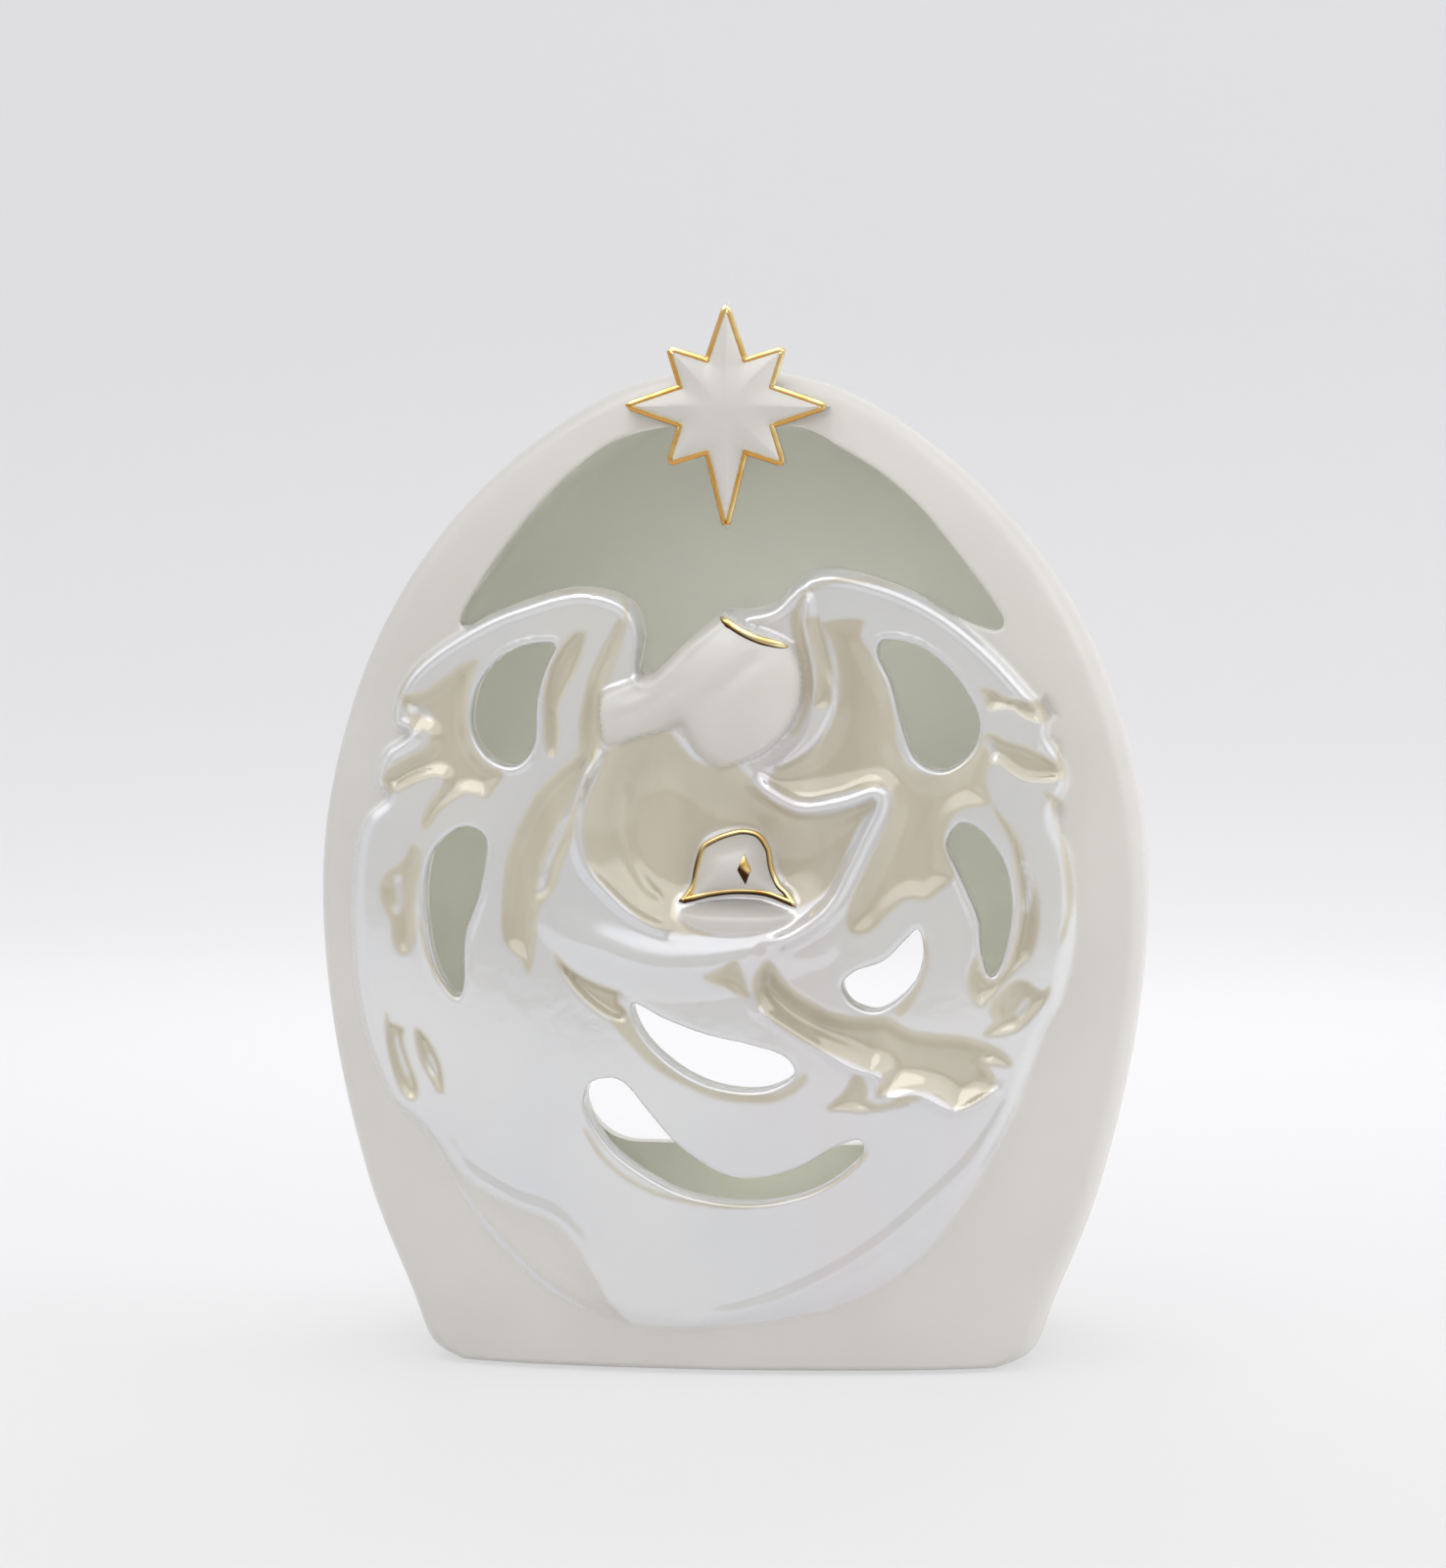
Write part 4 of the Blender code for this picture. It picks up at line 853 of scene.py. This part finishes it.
def painted_reflection_mark(spots):
    """1 where the lustre is painted beige as a painted reflection, 0 where it is white, as along the painted
    highlight lines.
    """
    mark = np.zeros(len(spots))
    for outline in PAINTED_REFLECTION_AREAS:
        mark = np.maximum(mark, ease(depth_near(spots, rounded(outline, True), 1.0) / PAINTED_REFLECTION_BLEND + 0.5))
    for line in PAINTED_REFLECTION_LINES:
        gap = line_near(spots, rounded(line, False), False, 1.5)
        mark = np.maximum(mark, PAINTED_REFLECTION_LINE_SHARE * ease(1.5 - gap / PAINTED_REFLECTION_LINE_HALF))
    for line in PAINTED_HIGHLIGHT_LINES:
        gap = line_near(spots, rounded(line, False), False, 1.5)
        mark *= 1 - PAINTED_HIGHLIGHT_LINE_SHARE * ease(1.6 - gap / PAINTED_HIGHLIGHT_LINE_HALF)
    return mark


def shell():
    skin = Skin()
    holes = [even(rounded(hole, True), EDGE_STEP, True) for hole in FRONT_HOLES]
    region = inset(FRONT_ROUND)
    low = region.min(axis=0)
    high = region.max(axis=0)
    spots = staggered(low, high, FRONT_STEP)
    spots = spots[depth_inside(spots, region) > FRONT_STEP * 0.6]
    for hole in holes:
        spots = spots[depth_near(spots, hole, 2 * LIP) < -LIP * 1.25]
    lips = [beside(hole, LIP * share) for hole in holes for share in (0.08, 0.3, 0.62, 1.0)]
    spots = np.vstack([spots, *lips])
    plain = staggered(low, high, PLAIN_STEP)

    def clear(loop, cuts):
        kept = plain[depth_inside(plain, loop) > PLAIN_STEP * 0.4]
        for cut in cuts:
            kept = kept[depth_inside(kept, cut) < -PLAIN_STEP * 0.3]
        return kept

    front = skin.sheet(region, holes, spots, lambda s: outer_front(s) + lip(s), glazed=True)
    edge = hollow(WALL + LINING_ROUND)
    lining = skin.sheet(edge, holes, clear(edge, holes), inner_front, within=1.0)
    opening = back_opening()
    edge = inset(BACK_ROUND)
    back = skin.sheet(edge, [opening], clear(edge, [opening]), outer_back)
    edge = hollow(WALL + BACK_ROUND)
    back_lining = skin.sheet(edge, [opening], clear(edge, [opening]), inner_back, within=1.0)
    for ring, other, hole in zip(front[1:], lining[1:], holes):
        start = outer_front(hole) + LIP
        middle = skin.place(hole, start * 0.6 + inner_front(hole) * 0.4, lustre=0.3, within=0.3)
        skin.bridge(ring, middle)
        skin.bridge(middle, other)
    skin.bridge(back[1], back_lining[1])
    skin.chain(front[0], outer_rings(), back[0])
    skin.chain(lining[0], inner_rings(), back_lining[0], within=1.0)
    low, high = np.array(cad_box) / MM
    points = np.clip(narrowed(np.vstack(skin.points)), low + TINY, high - TINY)
    made = mesh_object("holder_shell", points, np.vstack(skin.faces))
    for name, values in skin.marks.items():
        mark = made.data.attributes.new(name, "FLOAT", "POINT")
        mark.data.foreach_set("value", np.concatenate(values))
    return made


def mesh_object(name, points, faces):
    mesh = bpy.data.meshes.new(name)
    mesh.from_pydata((np.asarray(points) * MM).tolist(), [], [list(map(int, face)) for face in faces])
    mesh.validate()
    work = bmesh.new()
    work.from_mesh(mesh)
    bmesh.ops.recalc_face_normals(work, faces=work.faces)
    work.to_mesh(mesh)
    work.free()
    mesh.shade_smooth()
    made = bpy.data.objects.new(name, mesh)
    bpy.context.collection.objects.link(made)
    return made


def star_outline():
    rim = []
    for i, arm in enumerate([STAR_ARM, STAR_ARM, STAR_DROP, STAR_ARM]):
        reaches = (arm, STAR_VALLEY, STAR_SIDE_ARM, STAR_VALLEY)
        for turn, reach in zip(np.arange(90 * i, 90 * i + 90, 22.5), reaches):
            angle = math.radians(turn)
            rim.append((reach * math.sin(angle), HEIGHT - STAR_BELOW_TOP + reach * math.cos(angle)))
    return np.array(rim[::-1])


def star():
    """Eight soft arms with a ridge along each, and a rounded edge."""
    rim = star_outline()
    loop = even(rim, 0.45, True)
    middle = np.array([[0.0, HEIGHT - STAR_BELOW_TOP]])
    back_y = plain_front(middle)[0] + STAR_SUNK
    front_y = back_y - STAR_SUNK - STAR_THICK
    spots = staggered(rim.min(axis=0), rim.max(axis=0), STAR_STEP)
    spots = spots[depth_inside(spots, rim) > 0.25]
    full = 1 - math.exp(-7.2 / STAR_SPREAD)

    def face(at):
        gap = np.clip(depth_inside(at, rim), 0, None)
        edge = STAR_SOFT_EDGE * (1 - np.clip(gap / STAR_SOFT_EDGE, 0, 1)) ** 2
        return front_y + edge - STAR_RISE * (1 - np.exp(-gap / STAR_SPREAD)) / full

    skin = Skin()
    upper = skin.sheet(loop, [], spots, face)[0]
    lower = skin.place(loop, back_y)
    skin.bridge(upper, lower)
    skin.cap(lower, middle, back_y)
    made = skin.mesh("star")
    made.data.set_sharp_from_angle(angle=math.radians(50))
    run = even(middle + (rim - middle) * GOLD_INSET, LINE_STEP, True)
    return made, np.column_stack([run[:, 0], face(run) + 0.1, run[:, 1]])


def band(name, path, width, height, closed):
    """A low rounded line of glaze along a path of (x, y, z) points, lying on the surface that faces -Y."""
    path = np.asarray(path)
    if closed:
        along = np.roll(path, -1, axis=0) - np.roll(path, 1, axis=0)
    else:
        along = np.gradient(path, axis=0)
    along /= np.linalg.norm(along, axis=1)[:, None]
    facing = np.array([0, -1.0, 0])
    side = np.cross(along, facing)
    side /= np.maximum(np.linalg.norm(side, axis=1), 1e-6)[:, None]
    up = np.cross(side, along)
    count = len(path)
    widths = np.full(count, width / 2)
    if not closed:
        ends = np.minimum(np.arange(count), np.arange(count)[::-1])
        widths *= np.sqrt(np.clip((ends + 0.3) / 4, 0, 1))
    heights = height * widths / widths.max()
    rings = []
    for turn in np.linspace(0, 2 * math.pi, BEAD_SIDES, endpoint=False):
        across = side * (widths * math.cos(turn))[:, None]
        rings.append(path + across + up * (heights * math.sin(turn))[:, None])
    points = np.stack(rings, axis=1).reshape(-1, 3)
    skin = Skin()
    numbers = skin.place(points[:, ::2], points[:, 1]).reshape(count, BEAD_SIDES)
    for i in range(count if closed else count - 1):
        skin.bridge(numbers[i], numbers[(i + 1) % count])
    if not closed:
        for ring in numbers[[0, -1]]:
            skin.faces.append(np.column_stack([np.full(BEAD_SIDES - 2, ring[0]), ring[1:-1], ring[2:]]))
    return skin.mesh(name)


def on_front(run, closed):
    """A run of points laid on the carved front."""
    run = even(run, LINE_STEP, closed)
    return np.column_stack([run[:, 0], outer_front(run), run[:, 1]])


def lozenge():
    """A small raised gold lozenge in the middle of the bell."""
    middle = np.array([[LOZENGE[0], LOZENGE[1] - DRAWN_BASE]])
    turns = np.linspace(0, 2 * math.pi, LOZENGE_POINTS, endpoint=False)
    rim = np.column_stack([np.cos(turns), np.sin(turns)])
    rim /= np.abs(rim).sum(axis=1)[:, None]
    skin = Skin()
    rings = []
    for share in LOZENGE_STEPS:
        at = middle + rim * LOZENGE[2:] * share
        rings.append(skin.place(at, outer_front(at) - LOZENGE_THICK * math.sqrt(1 - share**2)))
    for ring, other in zip(rings, rings[1:]):
        skin.bridge(ring, other)
    skin.cap(rings[-1], middle, outer_front(middle) - LOZENGE_THICK)
    return skin.mesh("bell_lozenge")


# Glazes


def rgb(red, green, blue):
    """A colour given as it shows on screen, 0 to 255, as the shader takes it."""
    def linear(value):
        value /= 255
        return value / 12.92 if value <= 0.04045 else ((value + 0.055) / 1.055) ** 2.4
    return linear(red), linear(green), linear(blue), 1.0


def new_material(name):
    made = bpy.data.materials.new(name)
    made.use_nodes = True
    return made, made.node_tree, made.node_tree.nodes["Principled BSDF"]


def node(tree, kind, **settings):
    made = tree.nodes.new(kind)
    for key, value in settings.items():
        if key in made.inputs:
            made.inputs[key].default_value = value
        else:
            setattr(made, key, value)
    return made


def blend(tree, share, first, second):
    """A mix of two colours, by a number socket."""
    mix = tree.nodes.new("ShaderNodeMix")
    mix.data_type = "RGBA"
    tree.links.new(share, mix.inputs[0])
    for socket, value in ((mix.inputs[6], first), (mix.inputs[7], second)):
        if isinstance(value, tuple):
            socket.default_value = value
        else:
            tree.links.new(value, socket)
    return mix.outputs[2]


def span(tree, value, low, high, start, end):
    made = tree.nodes.new("ShaderNodeMapRange")
    made.clamp = True
    tree.links.new(value, made.inputs[0])
    for i, number in enumerate((low, high, start, end), 1):
        made.inputs[i].default_value = number
    return made.outputs[0]


def maths(tree, operation, first, second):
    """One operation on two values, each a number socket or a number."""
    made = node(tree, "ShaderNodeMath", operation=operation)
    for socket, value in zip(made.inputs, (first, second)):
        if isinstance(value, float):
            socket.default_value = value
        else:
            tree.links.new(value, socket)
    return made.outputs[0]


def parts(tree, kind, output):
    """The x, y and z sockets of a place or a direction."""
    made = tree.nodes.new("ShaderNodeSeparateXYZ")
    tree.links.new(tree.nodes.new(kind).outputs[output], made.inputs[0])
    return made.outputs


def attribute(tree, name):
    return node(tree, "ShaderNodeAttribute", attribute_name=name).outputs["Fac"]


def noise(tree, scale, detail=2.0, stretch=(1, 1, 1)):
    coords = tree.nodes.new("ShaderNodeTexCoord")
    mapping = node(tree, "ShaderNodeMapping", Scale=stretch)
    made = node(tree, "ShaderNodeTexNoise", Scale=scale, Detail=detail)
    tree.links.new(coords.outputs["Object"], mapping.inputs["Vector"])
    tree.links.new(mapping.outputs[0], made.inputs["Vector"])
    return made.outputs["Fac"]


def streaks(tree, scale):
    """Noise drawn out upwards, as a brushed glaze leaves it."""
    return noise(tree, scale, 3.0, (1, 1, 0.16))


def patches(tree, value, first, second):
    """Two colours in soft patches of a noise."""
    return blend(tree, span(tree, value, 0.35, 0.65, 0, 1), first, second)


def set_coat(shader):
    shader.inputs["Coat Weight"].default_value = 0.35
    shader.inputs["Coat Roughness"].default_value = 0.08


def porcelain():
    """White satin glaze on the frame, pearl lustre on the angel with beige painted reflection in its hollows,
    and a duller glaze inside, painted darker towards the chamber floor as painted shade.
    """
    made, tree, shader = new_material("porcelain_glaze")
    lustre = attribute(tree, "lustre")
    within = attribute(tree, "within")
    painted_reflection = attribute(tree, "painted_reflection")
    plain = patches(tree, noise(tree, 38.0), PLAIN_DARK, PLAIN_LIGHT)
    white = patches(tree, noise(tree, 24.0), PEARL_WHITE, PEARL_COOL)
    white = blend(tree, span(tree, streaks(tree, 60.0), 0.5, 0.75, 0, 0.6), white, PEARL_ROSE)
    # Beige painted reflection in the lustre's hollows, in soft streaky patches
    painted_reflection_tone = patches(tree, streaks(tree, 90.0), PAINTED_REFLECTION_BEIGE, PAINTED_REFLECTION_BROWN)
    outer = blend(tree, lustre, plain, blend(tree, painted_reflection, white, painted_reflection_tone))
    height = parts(tree, "ShaderNodeTexCoord", "Object")[2]
    # Painted shade: the inside glaze darkens from 7 cm height down to 3 cm, towards the chamber floor
    inner = blend(tree, span(tree, height, 0.03, 0.07, 0, 1), INSIDE_PAINTED_SHADE, INSIDE)
    tree.links.new(blend(tree, within, outer, inner), shader.inputs["Base Color"])
    metal = maths(tree, "MULTIPLY", lustre, span(tree, painted_reflection, 0, 1, PEARL_METAL, PAINTED_REFLECTION_METAL))
    tree.links.new(metal, shader.inputs["Metallic"])
    rough = maths(tree, "MAXIMUM", span(tree, lustre, 0, 1, 0.34, 0.1), span(tree, within, 0, 1, 0.0, 0.4))
    tree.links.new(rough, shader.inputs["Roughness"])
    set_coat(shader)
    bump = node(tree, "ShaderNodeBump", Strength=0.12, Distance=0.0006)
    tree.links.new(noise(tree, 160.0, 3.0), bump.inputs["Height"])
    tree.links.new(bump.outputs[0], shader.inputs["Normal"])
    return made


def plain_glaze():
    made, tree, shader = new_material("star_glaze")
    tree.links.new(patches(tree, noise(tree, 60.0), PLAIN_DARK, PLAIN_LIGHT), shader.inputs["Base Color"])
    tree.links.new(span(tree, noise(tree, 90.0), 0.3, 0.7, 0.26, 0.34), shader.inputs["Roughness"])
    set_coat(shader)
    return made


def gold(name, shade):
    """Bright gold: each bead's colour is painted bright above and on its right, a painted highlight, and has
    a painted shade on the other side.
    """
    made, tree, shader = new_material(name)
    bright = blend(tree, span(tree, noise(tree, 220.0, 3.0), 0.3, 0.7, 0, 1), GOLD_DEEP, GOLD_BRIGHT)
    # Painted light: the colour turns to the painted shade where the bead's normal faces away from up and the
    # right
    normal = parts(tree, "ShaderNodeNewGeometry", "Normal")
    lean = maths(tree, "ADD", maths(tree, "MULTIPLY", normal[0], 0.6), normal[2])
    turned = span(tree, lean, -0.25, 0.2, 0, 1)
    tree.links.new(blend(tree, turned, shade, bright), shader.inputs["Base Color"])
    shader.inputs["Metallic"].default_value = 0.9
    tree.links.new(span(tree, noise(tree, 300.0), 0.3, 0.7, 0.12, 0.24), shader.inputs["Roughness"])
    return made


PLAIN_LIGHT = rgb(212, 209, 203)
PLAIN_DARK = rgb(207, 204, 198)
PEARL_WHITE = rgb(223, 223, 223)
PEARL_COOL = rgb(217, 218, 221)
PEARL_ROSE = rgb(222, 215, 216)
# Beige and brown of the painted reflection in the lustre's hollows, and the lustre's metal there
PAINTED_REFLECTION_BEIGE = rgb(207, 200, 183)
PAINTED_REFLECTION_BROWN = rgb(193, 185, 168)
PEARL_METAL = 0.35
PAINTED_REFLECTION_METAL = 0.16
# Inside glaze, and the darker colour painted low in the chamber as painted shade
INSIDE = rgb(245, 245, 238)
INSIDE_PAINTED_SHADE = rgb(206, 206, 197)
GOLD_BRIGHT = rgb(255, 244, 196)
GOLD_DEEP = rgb(238, 190, 98)
# Painted shade colours on the gold beads' sides turned away from up and the right
BELL_GOLD_PAINTED_SHADE = rgb(66, 38, 10)
STAR_GOLD_PAINTED_SHADE = rgb(220, 164, 84)

# The object

holder = shell()
holder.data.materials.append(porcelain())
holder.data.set_sharp_from_angle(angle=math.radians(60))
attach(holder, "root")
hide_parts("holder")

ornament, star_path = star()
ornament.data.materials.append(plain_glaze())
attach(ornament, "root")

gilding = gold("gold_lustre", BELL_GOLD_PAINTED_SHADE)
star_gilding = gold("star_gold", STAR_GOLD_PAINTED_SHADE)
bell_line = beside(even(rounded(BELL, True), LINE_STEP, True), -BELL_LINE_INSET)
for piece, glaze in (
    (band("star_gold_line", star_path, *STAR_LINE, True), star_gilding),
    (band("halo_gold_line", on_front(rounded(HALO, False), False), *HALO_LINE, False), gilding),
    (band("bell_gold_line", on_front(bell_line, True), *BELL_LINE, True), gilding),
    (lozenge(), gilding),
):
    piece.data.materials.append(glaze)
    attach(piece, "root")

# Floor, backdrop, light and camera, in metres

FLOOR_COLOUR = rgb(232, 232, 233)
# Painted glow of the paper as the camera and reflections see it, darker higher up as painted shade, and its
# share
SEEN_NEAR = rgb(235, 235, 235)
SEEN_FAR = rgb(234, 233, 237)
SEEN_ABOVE_SHADED = rgb(222, 222, 225)
SEEN_SHARE = 0.72
TABLE_NEAR = -0.45
TABLE_FAR = 0.55
TABLE_HALF = 1.6
TABLE_CURVE = 0.4
WALL_TOP = 1.6
STUDIO = (1.0, 1.0, 1.0, 1.0)
MIRRORED = (1.3, 1.3, 1.32, 1.0)
CEILING = (2.6, 2.6, 2.65, 1.0)
ROOM = (0.95, 0.9, 0.78, 1.0)
WORLD_LEVEL = 0.58


def backdrop():
    """A pale table that curves up behind the object. To the camera and in reflections it partly glows, a
    painted light, in a colour that is darker higher up, as painted shade.
    """
    made, tree, shader = new_material("backdrop_paper")
    shader.inputs["Base Color"].default_value = FLOOR_COLOUR
    shader.inputs["Roughness"].default_value = 0.9
    glow = tree.nodes.new("ShaderNodeEmission")
    place = parts(tree, "ShaderNodeTexCoord", "Object")
    low = blend(tree, span(tree, place[1], -0.2, 0.25, 0, 1), SEEN_NEAR, SEEN_FAR)
    tall = blend(tree, span(tree, place[2], 0.0, 0.16, 0, 1), low, SEEN_ABOVE_SHADED)
    tree.links.new(tall, glow.inputs["Color"])
    rays = tree.nodes.new("ShaderNodeLightPath")
    seen = maths(tree, "MAXIMUM", rays.outputs["Is Camera Ray"], rays.outputs["Is Glossy Ray"])
    mix = tree.nodes.new("ShaderNodeMixShader")
    tree.links.new(maths(tree, "MULTIPLY", seen, SEEN_SHARE), mix.inputs[0])
    tree.links.new(shader.outputs[0], mix.inputs[1])
    tree.links.new(glow.outputs[0], mix.inputs[2])
    tree.links.new(mix.outputs[0], tree.nodes["Material Output"].inputs["Surface"])
    profile = [(TABLE_NEAR, 0), (-0.2, 0), (0.0, 0), (TABLE_FAR, 0)]
    for a in np.linspace(0, math.pi / 2, 17)[1:]:
        profile.append((TABLE_FAR + TABLE_CURVE * math.sin(a), TABLE_CURVE * (1 - math.cos(a))))
    profile.append((TABLE_FAR + TABLE_CURVE, WALL_TOP))
    points = [(x / MM, y / MM, z / MM) for y, z in profile for x in (-TABLE_HALF, TABLE_HALF)]
    faces = [(2 * i, 2 * i + 1, 2 * i + 3, 2 * i + 2) for i in range(len(profile) - 1)]
    paper = mesh_object("backdrop", points, faces)
    paper.data.materials.append(made)
    return paper


def surroundings():
    """A bright studio. Reflections show the dimmer room in front, below the lamps."""
    world = bpy.data.worlds.new("studio")
    bpy.context.scene.world = world
    world.use_nodes = True
    tree = world.node_tree
    shade = tree.nodes["Background"]
    toward = parts(tree, "ShaderNodeTexCoord", "Generated")
    ahead = span(tree, toward[1], -0.25, -0.7, 0, 1)
    below = span(tree, toward[2], 0.3, 0.42, 1, 0)
    glossy = tree.nodes.new("ShaderNodeLightPath").outputs["Is Glossy Ray"]
    room = maths(tree, "MULTIPLY", maths(tree, "MULTIPLY", ahead, below), glossy)
    bright = blend(tree, span(tree, toward[2], 0.3, 0.5, 0, 1), MIRRORED, CEILING)
    colour = blend(tree, room, blend(tree, glossy, STUDIO, bright), ROOM)
    tree.links.new(colour, shade.inputs["Color"])
    shade.inputs["Strength"].default_value = WORLD_LEVEL


backdrop()
surroundings()


def hang(name, lamp, place, aim, mirrored):
    """A lamp at its place, turned to its aim, and seen in reflections or not."""
    made = bpy.data.objects.new(name, lamp)
    made.location = place
    made.rotation_euler = (Vector(aim) - Vector(place)).to_track_quat("-Z", "Y").to_euler()
    made.visible_glossy = mirrored
    made.visible_camera = False
    bpy.context.collection.objects.link(made)


def soft_light(name, place, aim, size, power, mirrored=False):
    lamp = bpy.data.lights.new(name, "AREA")
    lamp.shape = "RECTANGLE"
    lamp.size, lamp.size_y = size
    lamp.energy = power
    hang(name, lamp, place, aim, mirrored)


def narrow_beam(name, place, aim, angle, power):
    lamp = bpy.data.lights.new(name, "SPOT")
    lamp.energy = power
    lamp.spot_size = math.radians(angle)
    lamp.spot_blend = 0.4
    lamp.shadow_soft_size = 0.01
    hang(name, lamp, place, aim, False)


soft_light("overhead", (-0.25, -0.3, 1.1), (0, 0, 0.08), (1.0, 0.8), 3.9, mirrored=True)
soft_light("front_box", (-0.2, -1.3, 0.4), (0, 0, 0.1), (0.8, 0.6), 3.2)
soft_light("back_box", (0.0, 0.45, 0.42), (0, 0, 0.07), (0.5, 0.4), 2.2)
soft_light("side_box", (1.2, 0.1, 0.45), (0, 0, 0.08), (0.6, 0.6), 6.2)

# High behind, through the back opening, onto the floor that the candle stands on
narrow_beam("chamber_beam", (0.0, 0.35, 0.45), (0, 0.03, 0.054), 3.6, 152.0)

SHOT_TURN = math.radians(5.5)
SHOT_RISE = math.radians(5.0)
SHOT_REACH = 1.0
AIM = Vector((-0.0003, -0.041, 0.0951))
FRAME_TALL = 0.2495
camera = bpy.data.cameras.new("camera")
camera.sensor_fit = "VERTICAL"
camera.sensor_height = 24
camera.lens = 12 / (FRAME_TALL / 2 / SHOT_REACH)
shot = bpy.data.objects.new("camera", camera)
level = math.cos(SHOT_RISE)
toward = Vector((math.sin(SHOT_TURN) * level, -math.cos(SHOT_TURN) * level, math.sin(SHOT_RISE)))
shot.location = AIM + toward * SHOT_REACH
shot.rotation_euler = (-toward).to_track_quat("-Z", "Y").to_euler()
bpy.context.collection.objects.link(shot)
bpy.context.scene.camera = shot

bpy.context.scene.view_settings.view_transform = "Standard"
